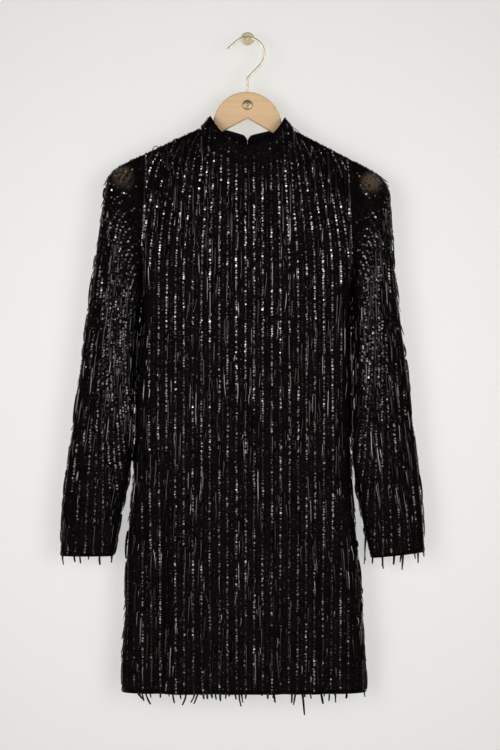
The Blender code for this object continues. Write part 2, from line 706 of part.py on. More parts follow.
def turned(collection, name, profile, location, turn, finish, steps=24):
    """A turned piece: a profile of radius and height, turned round its own axis."""
    mesh = bpy.data.meshes.new(name)
    bm = bmesh.new()
    verts = [bm.verts.new((radius, 0.0, height)) for radius, height in profile]
    for a, b in zip(verts, verts[1:]):
        bm.edges.new((a, b))
    bm.to_mesh(mesh)
    bm.free()
    obj = place(collection, name, mesh, finish)
    obj.location = location
    obj.rotation_euler = turn
    screw = obj.modifiers.new("turn", "SCREW")
    screw.steps = steps
    screw.render_steps = steps
    screw.use_merge_vertices = True
    screw.merge_threshold = 0.00005
    return obj


def make_rivet(collection, finish):
    """The round brass rivet on the front of the head, its shank let into the wood."""
    profile = (
        (0.0, 0.0050), (0.0045, 0.0046), (0.0070, 0.0036), (RIVET_RADIUS, 0.0018),
        (RIVET_RADIUS, SEAM), (RIVET_SHANK_RADIUS, SEAM),
        (RIVET_SHANK_RADIUS, -RIVET_SHANK_DEPTH), (0.0, -RIVET_SHANK_DEPTH),
    )
    front = -BOARD_THICKNESS / 2
    turned(collection, "hanger_rivet", profile, (0, front, RIVET_Z), (math.pi / 2, 0, 0), finish)


def make_peg(collection, finish):
    """The wall peg: a rosette against the wall, a thin shaft from its lower part, a ball tip."""
    axis_z = -PEG_SHAFT_RADIUS - SEAM
    tip = WALL_Y + PEG_TIP_REACH + PEG_TIP_RADIUS
    neck_angle = math.asin(PEG_SHAFT_RADIUS / PEG_TIP_RADIUS)
    rings = []
    for k in range(1, BALL_RINGS + 1):
        angle = (math.pi - neck_angle) * k / BALL_RINGS
        rings.append(
            (PEG_TIP_RADIUS * math.sin(angle), tip + PEG_TIP_RADIUS * math.cos(angle), 0.0)
        )
    rings += PEG_ROSETTE
    mesh = bpy.data.meshes.new("wall_peg")
    bm = bmesh.new()
    laid = []
    for radius, out, rise in rings:
        ring = []
        for step in range(PEG_SIDES):
            turn = 2 * math.pi * step / PEG_SIDES
            x = radius * math.cos(turn)
            ring.append(bm.verts.new((x, WALL_Y - out, axis_z + rise + radius * math.sin(turn))))
        laid.append(ring)
    for a, b in zip(laid, laid[1:]):
        for i in range(PEG_SIDES):
            j = (i + 1) % PEG_SIDES
            bm.faces.new((a[i], a[j], b[j], b[i]))
    point = bm.verts.new((0.0, WALL_Y - tip - PEG_TIP_RADIUS, axis_z))
    for i in range(PEG_SIDES):
        bm.faces.new((laid[0][i], point, laid[0][(i + 1) % PEG_SIDES]))
    bm.faces.new(laid[-1])
    bmesh.ops.recalc_face_normals(bm, faces=bm.faces)
    bm.to_mesh(mesh)
    bm.free()
    place(collection, "wall_peg", mesh, finish)


def hook_path():
    """The hook's centreline, from its tip over the crown and down the shank."""
    centre_z = WIRE_RADIUS - HOOK_RADIUS
    tip_angle = math.radians(HOOK_TIP_TURN)
    points = []
    start = Vector((HOOK_RADIUS * math.cos(tip_angle), centre_z + HOOK_RADIUS * math.sin(tip_angle)))
    away = Vector((-math.sin(tip_angle), math.cos(tip_angle)))
    for k in range(3):
        points.append(start + away * (HOOK_TIP_LENGTH * (3 - k) / 3))
    last_angle = math.radians(HOOK_END_TURN)
    for k in range(25):
        angle = tip_angle + (last_angle - tip_angle) * k / 24
        points.append(Vector((HOOK_RADIUS * math.cos(angle), centre_z + HOOK_RADIUS * math.sin(angle))))
    kink = Vector((0.0, HOOK_NECK_Z))
    leaving = points[-1]
    for k in (1, 2, 3):
        points.append(leaving.lerp(kink, k / 4))
    points.append(kink + Vector((0.0012, 0.0014)))
    points.append(kink + Vector((0.0, -0.0012)))
    head_top = HEAD_Z + HEAD_RADIUS
    points.append(Vector((0.0, (kink.y + head_top) / 2)))
    points.append(Vector((0.0, head_top - SHANK_DEPTH)))
    return points


def make_hook(collection, finish):
    """The bent wire hook."""
    curve = bpy.data.curves.new("hanger_hook", "CURVE")
    curve.dimensions = "3D"
    curve.bevel_depth = WIRE_RADIUS
    curve.bevel_resolution = 2
    curve.use_fill_caps = True
    points = hook_path()
    spline = curve.splines.new("POLY")
    spline.points.add(len(points) - 1)
    for knot, p in zip(spline.points, points):
        knot.co = (p.x, 0.0, p.y, 1.0)
    curve.materials.append(finish)
    collection.objects.link(bpy.data.objects.new("hanger_hook", curve))


def make_button(collection, finish):
    """The small button that fastens the collar at the centre back."""
    foot, head = collar_point(176, 0.0), collar_point(176, 1.0)
    lean = math.atan((foot.y - head.y) / (head.z - foot.z))
    seat = foot.lerp(head, 0.3)
    seat += Vector((0, math.cos(lean), math.sin(lean))) * (2 * SEAM)
    profile = ((0.0, 0.0030), (0.0034, 0.0028), (0.0045, 0.0016), (0.0045, 0.0), (0.0, 0.0))
    turned(collection, "collar_button", profile, seat, (lean - math.pi / 2, 0, 0), finish, 16)


def on_chords(point_at, stations, at):
    """The point at a station on the straight chords between the given stations."""
    k = int(np.clip(np.searchsorted(stations, at) - 1, 0, len(stations) - 2))
    share = (at - stations[k]) / (stations[k + 1] - stations[k])
    return point_at(stations[k]).lerp(point_at(stations[k + 1]), share)


def hem_edge(side):
    """Gives the outside of the panel at a place along the hem and a height above it."""
    fractions = FRONT_ACROSS if side < 0 else BACK_ACROSS
    fractions = fractions + tuple(-a for a in fractions[-2::-1])
    step = (ARMPIT_Z - HEM_Z) / LOWER_STEPS

    def edge(across, above):
        def at(station):
            foot = body_point(side, station, HEM_Z)
            return foot.lerp(body_point(side, station, HEM_Z + step), above / step)

        return on_chords(at, fractions, across)

    return edge, fractions


def cuff_edge(sign, rows):
    """Gives the outside of the sleeve at a turn round its cuff and a height above it."""
    turns = SLEEVE_ROUND + (1.0,)
    before_last = 1 - 1 / (len(rows) - 1)

    def edge(turn, above):
        def at(station):
            foot = sleeve_point(sign, rows, station % 1.0, 1.0)
            upper = sleeve_point(sign, rows, station % 1.0, before_last)
            return foot.lerp(upper, above / (upper.z - foot.z))

        return on_chords(at, turns, turn)

    return edge, turns


def outward_at(edge, place_along, middle):
    """The level direction square to an edge and away from the middle."""
    run = edge(place_along + 0.004, 0.0) - edge(place_along - 0.004, 0.0)
    away = Vector((run.y, -run.x, 0)).normalized()
    return away if away.dot(edge(place_along, 0.0) - middle) > 0 else -away


def tape_marks(strands, corners, start, end, length):
    """Stations along a tape: its ends, the cloth's corners and both sides of each root."""
    half = STRAND_WIDTH / 2 / length * (end - start)
    marks = [(start, None), (end, None)]
    roots = []
    for strand in strands:
        centre = start + (end - start) * strand.place
        roots.append(centre)
        marks += [(centre - half, strand), (centre + half, None)]
    for corner in corners:
        if start + half < corner < end - half and min(abs(corner - r) for r in roots) > 1.5 * half:
            marks.append((corner, None))
    return sorted(marks, key=lambda mark: mark[0])


def make_fringe(collection, name, strands, edge, marks, middle, finish):
    """A narrow tape along an edge, with a strand drawn down from each root in its lower side."""
    mesh = bpy.data.meshes.new(name)
    bm = bmesh.new()
    sections = []
    for station, _ in marks:
        away = outward_at(edge, station, middle)
        section = []
        for out, above in ((0, 0), (1, 0), (1, 1), (0, 1)):
            point = edge(station, TAPE_ABOVE_EDGE + TAPE_HEIGHT * above)
            section.append(bm.verts.new(point + away * (TAPE_GAP + TAPE_THICKNESS * out)))
        sections.append(section)
    roots = []
    for (station, strand), a, b in zip(marks, sections, sections[1:]):
        for i in range(4):
            j = (i + 1) % 4
            face = bm.faces.new((a[i], a[j], b[j], b[i]))
            if i == 0 and strand:
                roots.append((face, strand, outward_at(edge, station, middle)))
    bm.faces.new(sections[0][::-1])
    bm.faces.new(sections[-1])
    bmesh.ops.recalc_face_normals(bm, faces=bm.faces)
    for face, strand, away in roots:
        for step in (0.45, 0.55):
            face = bmesh.ops.extrude_discrete_faces(bm, faces=[face])["faces"][0]
            sway = Vector((-away.y, away.x, 0)) * strand.lean
            drop = Vector((0, 0, -strand.length * step)) + sway + away * STRAND_OUT
            bmesh.ops.translate(bm, verts=face.verts, vec=drop)
        centre = face.calc_center_median()
        for vertex in face.verts:
            vertex.co = centre.lerp(vertex.co, STRAND_TAPER)
    bm.to_mesh(mesh)
    bm.free()
    return place(collection, name, mesh, finish)


def make_fringes(collection, finish):
    """The four fringes: two along the hem and one round each cuff."""
    hems = (("hem_fringe_front", -1, HEM_FRONT_STRANDS), ("hem_fringe_back", 1, HEM_BACK_STRANDS))
    for name, side, strands in hems:
        edge, corners = hem_edge(side)
        marks = tape_marks(strands, corners, -HEM_TAPE_END, HEM_TAPE_END, HEM_WIDTH)
        make_fringe(collection, name, strands, edge, marks, Vector((0, 0, HEM_Z)), finish)
    cuffs = (
        ("cuff_fringe_left", -1, LEFT_SLEEVE, CUFF_LEFT_STRANDS),
        ("cuff_fringe_right", 1, RIGHT_SLEEVE, CUFF_RIGHT_STRANDS),
    )
    for name, sign, rows, strands in cuffs:
        last = rows[-1]
        middle = Vector((sign * (last.outer_x + last.inner_x) / 2, -last.forward, last.outer_z))
        edge, corners = cuff_edge(sign, rows)
        marks = tape_marks(strands, corners, CUFF_TAPE_START, 1 - CUFF_TAPE_START, CUFF_WIDTH)
        make_fringe(collection, name, strands, edge, marks, middle, finish)


def new_collection(name, hidden=False):
    """A collection in the scene."""
    made = bpy.data.collections.new(name)
    made.hide_render = hidden
    bpy.context.scene.collection.children.link(made)
    return made


def main():
    """Builds the dress, its hanger and the peg."""
    for obj in list(bpy.data.objects):
        bpy.data.objects.remove(obj)
    dress = new_collection("sequin_dress")
    cutters = new_collection("cutters", hidden=True)

    net = material("black_sequin_net", (0.012, 0.011, 0.012), 0.55)
    collar_net = material("black_collar_net", (0.010, 0.009, 0.011), 0.6)
    strand = material("black_strand", (0.02, 0.02, 0.021), 0.25)
    wood = material("pale_beech", (0.62, 0.42, 0.24), 0.5)
    brass = material("brass", (0.72, 0.52, 0.22), 0.3, 1.0)
    button = material("black_button", (0.02, 0.02, 0.02), 0.3)

    make_front(dress, net)
    make_back(dress, "back_left", -1, net)
    make_back(dress, "back_right", 1, net)
    make_sleeve(dress, "sleeve_left", -1, LEFT_SLEEVE, net)
    make_sleeve(dress, "sleeve_right", 1, RIGHT_SLEEVE, net)
    make_collar(dress, collar_net)
    make_button(dress, button)
    make_fringes(dress, strand)
    make_board(dress, cutters, wood)
    make_hook(dress, brass)
    make_rivet(dress, brass)
    make_peg(dress, brass)


main()
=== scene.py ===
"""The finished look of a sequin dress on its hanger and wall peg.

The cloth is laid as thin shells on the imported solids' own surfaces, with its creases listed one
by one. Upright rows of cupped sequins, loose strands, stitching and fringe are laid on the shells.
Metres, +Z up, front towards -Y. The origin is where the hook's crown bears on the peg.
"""

import logging
import math
from collections.abc import Callable
from dataclasses import dataclass, field
from enum import Enum
from typing import Any, NamedTuple

import bpy
import numpy as np
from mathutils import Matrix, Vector


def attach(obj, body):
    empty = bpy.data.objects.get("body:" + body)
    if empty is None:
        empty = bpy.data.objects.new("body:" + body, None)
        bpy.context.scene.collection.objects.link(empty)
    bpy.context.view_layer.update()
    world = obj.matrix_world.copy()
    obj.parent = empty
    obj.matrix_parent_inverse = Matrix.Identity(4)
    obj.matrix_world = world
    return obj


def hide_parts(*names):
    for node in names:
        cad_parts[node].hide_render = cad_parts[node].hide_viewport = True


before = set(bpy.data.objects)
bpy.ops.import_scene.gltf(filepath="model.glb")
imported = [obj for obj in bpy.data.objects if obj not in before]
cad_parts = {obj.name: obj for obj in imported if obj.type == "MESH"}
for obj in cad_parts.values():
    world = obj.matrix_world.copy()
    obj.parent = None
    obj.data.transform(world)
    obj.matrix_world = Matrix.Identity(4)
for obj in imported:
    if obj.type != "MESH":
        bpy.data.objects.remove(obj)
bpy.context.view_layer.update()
LOG = logging.getLogger("sequin_dress")
BODY = "root"

Triple = tuple[float, float, float]
Colour = Triple

# Sizes and counts that several classes share

HALF_SEAM = 0.00015
ARMHOLE_X = 0.168
WALL_CLEARANCE = 0.0396
NEARLY_ONE = 1.000001
SQUARE = 4
HEXAGON = 6
FULL_TURN = 6.3


class Side(Enum):
    """Which side of the dress a panel covers. The value is the sign of Y there."""

    FRONT = -1
    BACK = 1


class Hand(Enum):
    """Left or right as the dress is seen from the front. The value is the sign of X there."""

    LEFT = -1
    RIGHT = 1


# Size tables, the same as the solids'


def rows_of(kind: Callable[..., Any], *rows: tuple) -> tuple:
    """The rows of a size table, each as one kind of record."""
    return tuple(kind(*row) for row in rows)


class BodyRow(NamedTuple):
    """The body's edges and its two depths at one height."""

    height: float
    left: float
    right: float
    front: float
    back: float


BODY_ROWS = rows_of(
    BodyRow,
    (-0.145, -0.1680, 0.1680, 0.0400, 0.0300),
    (-0.250, -0.1680, 0.1680, 0.0430, 0.0310),
    (-0.340, -0.1680, 0.1680, 0.0470, 0.0310),
    (-0.402, -0.1680, 0.1680, 0.0460, 0.0300),
    (-0.466, -0.1715, 0.1655, 0.0430, 0.0290),
    (-0.546, -0.1765, 0.1655, 0.0410, 0.0280),
    (-0.626, -0.1795, 0.1635, 0.0410, 0.0280),
    (-0.706, -0.1816, 0.1656, 0.0430, 0.0290),
    (-0.770, -0.1880, 0.1704, 0.0440, 0.0295),
    (-0.834, -0.1928, 0.1768, 0.0450, 0.0300),
    (-0.898, -0.1944, 0.1816, 0.0455, 0.0300),
    (-0.978, -0.1992, 0.1856, 0.0460, 0.0305),
    (-1.043, -0.2008, 0.1896, 0.0460, 0.0305),
)


class RidgeRow(NamedTuple):
    """How far the cloth stands out at one distance below the shoulder's ridge."""

    below: float
    depth: float


RIDGE_ROWS = rows_of(
    RidgeRow,
    (0.0000, 0.0000),
    (0.0002, 0.0038),
    (0.0007, 0.0066),
    (0.0024, 0.0090),
    (0.0080, 0.0104),
    (0.0300, 0.0152),
    (0.0800, 0.0280),
    (0.1500, 0.0400),
    (0.2600, 0.0450),
)
SHOULDER_DEPTH = RIDGE_ROWS[4].depth
RIDGE_FULL_DEPTH = RIDGE_ROWS[-1].depth
RIDGE_STEPS = (0.0, 0.0002, 0.0007, 0.0014, 0.0024, 0.0045, 0.0080)


class Crease(NamedTuple):
    """A soft trough (depth above 0) or ridge (below 0) in a body panel."""

    side: Side
    top_x: float
    bottom_x: float
    top_z: float
    bottom_z: float
    depth: float
    width: float


CREASES = rows_of(
    Crease,
    (Side.FRONT, -0.1360, -0.1420, -0.560, -1.300, 0.0085, 0.013),
    (Side.FRONT, -0.1030, -0.1100, -0.600, -1.300, -0.0045, 0.018),
    (Side.FRONT, -0.0520, -0.0580, -0.900, -1.300, 0.0050, 0.011),
    (Side.FRONT, 0.0200, 0.0200, -0.760, -0.960, 0.0040, 0.012),
    (Side.FRONT, 0.0560, 0.0630, -0.900, -1.300, 0.0055, 0.011),
    (Side.FRONT, 0.1180, 0.1320, -0.640, -1.300, 0.0050, 0.014),
    (Side.FRONT, -0.0300, -0.0900, -0.250, -0.430, -0.0030, 0.026),
    (Side.FRONT, 0.0500, 0.0900, -0.250, -0.440, -0.0030, 0.026),
    (Side.FRONT, 0.1100, 0.1450, -0.300, -0.620, 0.0045, 0.012),
    (Side.FRONT, -0.1180, -0.1500, -0.300, -0.560, 0.0035, 0.012),
    (Side.BACK, -0.1250, -0.1350, -0.600, -1.300, 0.0060, 0.014),
    (Side.BACK, -0.0560, -0.0600, -0.780, -1.300, 0.0045, 0.013),
    (Side.BACK, 0.0480, 0.0560, -0.700, -1.300, 0.0050, 0.013),
    (Side.BACK, 0.1240, 0.1320, -0.640, -1.300, 0.0055, 0.014),
    (Side.BACK, -0.1100, -0.1400, -0.300, -0.540, 0.0035, 0.014),
    (Side.BACK, 0.1100, 0.1400, -0.300, -0.560, 0.0035, 0.014),
    # Finer ones, on the shells only
    (Side.FRONT, -0.1640, -0.1680, -0.560, -0.920, 0.0040, 0.008),
    (Side.FRONT, -0.1230, -0.1250, -0.620, -0.900, -0.0022, 0.007),
    (Side.FRONT, -0.0780, -0.0830, -0.700, -1.040, 0.0024, 0.009),
    (Side.FRONT, -0.0260, -0.0180, -0.820, -1.180, -0.0022, 0.010),
    (Side.FRONT, 0.0350, 0.0420, -0.830, -1.120, -0.0024, 0.009),
    (Side.FRONT, 0.0860, 0.0950, -0.700, -1.160, 0.0028, 0.010),
    (Side.FRONT, 0.1010, 0.1080, -0.760, -1.200, -0.0024, 0.008),
    (Side.FRONT, 0.1500, 0.1560, -0.560, -0.900, 0.0030, 0.009),
    (Side.FRONT, -0.0600, -0.0480, -0.220, -0.520, 0.0018, 0.010),
    (Side.FRONT, 0.0180, 0.0110, -0.240, -0.470, 0.0015, 0.012),
    (Side.FRONT, 0.0720, 0.0500, -0.230, -0.540, 0.0019, 0.011),
    (Side.FRONT, -0.0050, 0.0030, -0.430, -0.740, 0.0020, 0.013),
    (Side.FRONT, -0.0900, -0.1020, -0.380, -0.640, 0.0022, 0.010),
    (Side.FRONT, 0.0880, 0.1010, -0.420, -0.700, 0.0024, 0.010),
    (Side.BACK, -0.1580, -0.1640, -0.540, -0.900, 0.0035, 0.009),
    (Side.BACK, -0.0920, -0.0980, -0.620, -1.020, -0.0022, 0.011),
    (Side.BACK, -0.0280, -0.0330, -0.520, -0.860, 0.0022, 0.010),
    (Side.BACK, 0.0250, 0.0210, -0.860, -1.200, 0.0026, 0.011),
    (Side.BACK, 0.0860, 0.0930, -0.560, -1.100, -0.0024, 0.011),
    (Side.BACK, 0.1520, 0.1590, -0.600, -0.960, 0.0032, 0.009),
    (Side.BACK, 0.0620, 0.0480, -0.240, -0.560, 0.0018, 0.012),
    (Side.BACK, -0.0700, -0.0540, -0.230, -0.500, 0.0019, 0.011),
)


class SleeveRow(NamedTuple):
    """One ring of a sleeve: its edges seen from the front, its depth and how far it hangs out."""

    outer_x: float
    outer_z: float
    inner_x: float
    inner_z: float
    depth: float
    forward: float


LEFT_SLEEVE_ROWS = rows_of(
    SleeveRow,
    (0.1680, -0.1866, 0.1680, -0.4020, 0.0400, 0.0000),
    (0.1840, -0.1938, 0.1690, -0.4090, 0.0395, 0.0000),
    (0.2010, -0.2025, 0.1700, -0.4180, 0.0385, 0.0005),
    (0.2140, -0.2120, 0.1712, -0.4300, 0.0375, 0.0010),
    (0.2222, -0.2240, 0.1726, -0.4450, 0.0365, 0.0020),
    (0.2268, -0.2400, 0.1746, -0.4662, 0.0350, 0.0030),
    (0.2300, -0.2650, 0.1765, -0.4900, 0.0335, 0.0040),
    (0.2346, -0.2980, 0.1780, -0.5160, 0.0320, 0.0050),
    (0.2402, -0.3400, 0.1796, -0.5462, 0.0305, 0.0060),
    (0.2474, -0.3900, 0.1812, -0.5800, 0.0290, 0.0065),
    (0.2552, -0.4450, 0.1822, -0.6120, 0.0280, 0.0070),
    (0.2640, -0.5130, 0.1832, -0.6450, 0.0270, 0.0070),
    (0.2728, -0.5782, 0.1862, -0.6850, 0.0260, 0.0070),
    (0.2812, -0.6422, 0.1930, -0.7180, 0.0250, 0.0070),
    (0.2886, -0.7000, 0.2000, -0.7500, 0.0245, 0.0070),
    (0.2948, -0.7620, 0.2070, -0.7880, 0.0240, 0.0070),
    (0.2984, -0.8262, 0.2136, -0.8262, 0.0240, 0.0070),
)
RIGHT_SLEEVE_ROWS = rows_of(
    SleeveRow,
    (0.1680, -0.1954, 0.1680, -0.4020, 0.0400, 0.0000),
    (0.1830, -0.2030, 0.1690, -0.4090, 0.0395, 0.0000),
    (0.1980, -0.2110, 0.1694, -0.4180, 0.0385, 0.0005),
    (0.2110, -0.2205, 0.1696, -0.4300, 0.0375, 0.0010),
    (0.2200, -0.2320, 0.1698, -0.4450, 0.0365, 0.0020),
    (0.2244, -0.2480, 0.1700, -0.4662, 0.0350, 0.0030),
    (0.2264, -0.2700, 0.1700, -0.4900, 0.0335, 0.0040),
    (0.2290, -0.3050, 0.1700, -0.5160, 0.0320, 0.0050),
    (0.2322, -0.3500, 0.1698, -0.5462, 0.0305, 0.0060),
    (0.2376, -0.4022, 0.1690, -0.5800, 0.0290, 0.0065),
    (0.2448, -0.4600, 0.1680, -0.6120, 0.0280, 0.0070),
    (0.2530, -0.5260, 0.1672, -0.6450, 0.0270, 0.0070),
    (0.2596, -0.5850, 0.1698, -0.6850, 0.0260, 0.0070),
    (0.2664, -0.6422, 0.1746, -0.7180, 0.0250, 0.0070),
    (0.2722, -0.6950, 0.1806, -0.7500, 0.0245, 0.0070),
    (0.2784, -0.7540, 0.1876, -0.7900, 0.0240, 0.0070),
    (0.2824, -0.8198, 0.1976, -0.8294, 0.0240, 0.0070),
)


class SleeveCrease(NamedTuple):
    """A soft trough along a sleeve: its place round it, depth, width, start and end."""

    place: float
    depth: float
    width: float
    start: float
    end: float


SLEEVE_CREASES = rows_of(
    SleeveCrease,
    (0.14, 0.0030, 0.045, 0.30, 1.15),
    (0.31, 0.0040, 0.050, 0.45, 1.15),
    (0.66, 0.0035, 0.050, 0.35, 1.15),
    (0.84, 0.0030, 0.045, 0.50, 1.15),
    (0.22, -0.0016, 0.022, 0.52, 0.98),
    (0.39, 0.0018, 0.020, 0.40, 0.80),
    (0.09, 0.0014, 0.020, 0.58, 1.02),
    (0.76, -0.0016, 0.024, 0.46, 0.90),
    (0.58, 0.0016, 0.022, 0.55, 1.00),
)


class CollarRow(NamedTuple):
    """The collar's top edge at one turn in degrees from the centre front."""

    turn: float
    top_z: float


COLLAR_ROWS = rows_of(
    CollarRow,
    (0, -0.1725),
    (14, -0.1690),
    (27, -0.1612),
    (40, -0.1545),
    (54, -0.1440),
    (67, -0.1335),
    (80, -0.1272),
    (87, -0.1262),
    (90, -0.1261),
    (93, -0.1266),
    (100, -0.1290),
    (113, -0.1340),
    (128, -0.1398),
    (144, -0.1442),
    (158, -0.1475),
    (170, -0.1508),
    (176, -0.1535),
    (180, -0.1600),
)


class Hang(NamedTuple):
    """A strand below an edge: its place along it from 0 to 1, its length and its lean."""

    place: float
    length: float
    lean: float


HEM_FRONT_HANGS = rows_of(
    Hang,
    (0.103, 0.008, 0.004), (0.117, 0.011, 0.002), (0.131, 0.016, 0.004),
    (0.186, 0.006, 0.000), (0.236, 0.013, 0.002), (0.286, 0.016, -0.003),
    (0.317, 0.012, -0.003), (0.331, 0.014, -0.004), (0.350, 0.007, 0.000),
    (0.364, 0.007, 0.000), (0.378, 0.006, 0.001), (0.394, 0.008, 0.001),
    (0.414, 0.010, 0.000), (0.434, 0.006, 0.000), (0.468, 0.007, 0.001),
    (0.484, 0.018, 0.001), (0.507, 0.006, 0.000), (0.588, 0.006, 0.000),
    (0.610, 0.012, 0.001), (0.680, 0.013, 0.000), (0.694, 0.016, -0.002),
    (0.718, 0.032, 0.002), (0.751, 0.006, 0.000), (0.788, 0.015, 0.002),
    (0.820, 0.011, 0.000), (0.844, 0.013, 0.000), (0.884, 0.007, 0.000),
    (0.962, 0.007, 0.000),
)
HEM_BACK_HANGS = rows_of(
    Hang,
    (0.080, 0.011, 0.0), (0.125, 0.015, 0.001), (0.160, 0.009, 0.0),
    (0.205, 0.013, -0.001), (0.248, 0.018, 0.0), (0.281, 0.010, 0.0),
    (0.325, 0.012, 0.001), (0.352, 0.016, 0.0), (0.401, 0.009, 0.0),
    (0.446, 0.014, -0.001), (0.489, 0.024, 0.001), (0.533, 0.010, 0.0),
    (0.571, 0.013, 0.0), (0.618, 0.016, -0.001), (0.655, 0.009, 0.0),
    (0.699, 0.012, 0.001), (0.741, 0.015, 0.0), (0.784, 0.010, 0.0),
    (0.822, 0.013, -0.001), (0.861, 0.011, 0.0), (0.905, 0.016, 0.0),
)
CUFF_LEFT_HANGS = rows_of(
    Hang,
    (0.06, 0.011, 0.0), (0.15, 0.014, 0.001), (0.24, 0.008, 0.0),
    (0.35, 0.012, -0.001), (0.44, 0.009, 0.0), (0.58, 0.013, 0.0),
    (0.71, 0.010, 0.001), (0.86, 0.012, 0.0),
)
CUFF_RIGHT_HANGS = rows_of(
    Hang,
    (0.05, 0.010, 0.0), (0.13, 0.021, 0.001), (0.22, 0.017, 0.0),
    (0.29, 0.027, -0.001), (0.38, 0.012, 0.0), (0.46, 0.009, 0.0),
    (0.61, 0.015, 0.0), (0.74, 0.010, 0.001), (0.88, 0.013, 0.0),
)


class SizeCurve:
    """The smooth curve through the rows of a size table."""

    def __init__(self, stations: np.ndarray, values: np.ndarray) -> None:
        """Keeps the rows and the curve's slope at each of them."""
        self.stations = np.asarray(stations, float)
        self.values = np.asarray(values, float).reshape(len(self.stations), -1)
        self.slopes = np.gradient(self.values, self.stations, axis=0)

    def at(self, where: np.ndarray) -> np.ndarray:
        """The curve's values at many stations.

        Args:
            where: the stations, in any shape.

        Returns:
            An array of the same shape with one more axis for the table's columns.
        """
        held = np.clip(where, self.stations[0], self.stations[-1])
        k = np.clip(np.searchsorted(self.stations, held) - 1, 0, len(self.stations) - 2)
        width = self.stations[k + 1] - self.stations[k]
        s = ((held - self.stations[k]) / width)[..., None]
        width = width[..., None]
        start = (2 * s**3 - 3 * s**2 + 1) * self.values[k]
        start = start + (s**3 - 2 * s**2 + s) * width * self.slopes[k]
        end = (3 * s**2 - 2 * s**3) * self.values[k + 1]
        end = end + (s**3 - s**2) * width * self.slopes[k + 1]
        return start + end


def eased(share: np.ndarray) -> np.ndarray:
    """Shares from 0 to 1 with soft ends."""
    held = np.clip(share, 0.0, 1.0)
    return held * held * (3 - 2 * held)


def unit(vectors: np.ndarray) -> np.ndarray:
    """The same directions at length 1."""
    length = np.linalg.norm(vectors, axis=-1, keepdims=True)
    return vectors / np.maximum(length, 1e-12)


def piled(x: np.ndarray, y: np.ndarray, z: np.ndarray) -> np.ndarray:
    """Points from their three coordinates."""
    return np.stack(np.broadcast_arrays(x, y, z), axis=-1)


# Sheets as grids of points


@dataclass
class SurfaceGrid:
    """A sheet's outside as rows of points from its top to its bottom.

    Attributes:
        points: rows by columns by 3.
        middle: a point inside the garment for each row, which the sheet faces away from.
        centre: the column from which distances across the sheet are measured.
        closed: whether the last column meets the first.
    """

    points: np.ndarray
    middle: np.ndarray
    centre: int
    closed: bool = False
    normals: np.ndarray = field(init=False)
    across: np.ndarray = field(init=False)
    down: np.ndarray = field(init=False)
    flipped: bool = field(init=False)

    def __post_init__(self) -> None:
        """Finds the normals and the distances across and down the sheet."""
        lengthwise = np.gradient(self.points, axis=0)
        crosswise = np.gradient(self.points, axis=1)
        normals = unit(np.cross(crosswise, lengthwise))
        outwards = self.points - self.middle[:, None, :]
        self.flipped = float(np.sum(normals * outwards)) < 0
        self.normals = -normals if self.flipped else normals
        step = np.linalg.norm(np.diff(self.points, axis=1), axis=2)
        run = np.concatenate([np.zeros((len(step), 1)), np.cumsum(step, axis=1)], axis=1)
        self.across = run - run[:, self.centre : self.centre + 1]
        fall = np.linalg.norm(np.diff(self.points, axis=0), axis=2)
        self.down = np.concatenate([np.zeros((1, fall.shape[1])), np.cumsum(fall, axis=0)])

    @property
    def rows(self) -> int:
        """The number of rows."""
        return self.points.shape[0]

    @property
    def columns(self) -> int:
        """The number of columns."""
        return self.points.shape[1]

    def sample(self, rows: np.ndarray, columns: np.ndarray) -> tuple[np.ndarray, np.ndarray]:
        """Points and normals between the grid's own points.

        Args:
            rows: row numbers with fractions.
            columns: column numbers with fractions, of the same shape.

        Returns:
            The points and the normals there.
        """
        r = np.clip(rows, 0, self.rows - NEARLY_ONE)
        c = np.clip(columns, 0, self.columns - NEARLY_ONE)
        r0 = r.astype(int)
        c0 = c.astype(int)
        u = (r - r0)[..., None]
        v = (c - c0)[..., None]
        found = []
        for table in (self.points, self.normals):
            upper = table[r0, c0] * (1 - v) + table[r0, c0 + 1] * v
            lower = table[r0 + 1, c0] * (1 - v) + table[r0 + 1, c0 + 1] * v
            found.append(upper * (1 - u) + lower * u)
        return found[0], unit(found[1])

    def upright(self, offset: float, margin: float) -> tuple[np.ndarray, np.ndarray]:
        """The line that runs down the sheet at one distance across it.

        Args:
            offset: the distance from the centre column.
            margin: how far the line keeps from the sheet's edges.

        Returns:
            The row numbers where the line is on the sheet, and its columns there.
        """
        rows = []
        columns = []
        numbers = np.arange(self.columns)
        for row in range(self.rows):
            run = self.across[row]
            if run[0] + margin <= offset <= run[-1] - margin:
                rows.append(row)
                columns.append(np.interp(offset, run, numbers))
        return np.array(rows, float), np.array(columns)

    def area(self) -> float:
        """The sheet's area."""
        a = self.points[1:, 1:] - self.points[:-1, :-1]
        b = self.points[1:, :-1] - self.points[:-1, 1:]
        return float(np.linalg.norm(np.cross(a, b), axis=2).sum() / 2)


def mesh_of(name: str, points: np.ndarray, faces: np.ndarray) -> bpy.types.Mesh:
    """A mesh from arrays, all its faces with the same number of corners.

    Args:
        name: the mesh's name.
        points: the corners' places.
        faces: for each face, the numbers of its corners.

    Returns:
        The new mesh.
    """
    mesh = bpy.data.meshes.new(name)
    mesh.vertices.add(len(points))
    mesh.vertices.foreach_set("co", np.ascontiguousarray(points, np.float32).ravel())
    corners = faces.shape[1]
    mesh.loops.add(faces.size)
    mesh.loops.foreach_set("vertex_index", np.ascontiguousarray(faces, np.int32).ravel())
    mesh.polygons.add(len(faces))
    mesh.polygons.foreach_set("loop_start", np.arange(0, faces.size, corners, dtype=np.int32))
    mesh.update(calc_edges=True)
    mesh.validate()
    return mesh


def mark(mesh: bpy.types.Mesh, name: str, values: np.ndarray) -> None:
    """Keeps one number for each point of a mesh, for its finish to read."""
    attribute = mesh.attributes.new(name, "FLOAT", "POINT")
    attribute.data.foreach_set("value", np.ascontiguousarray(values, np.float32))


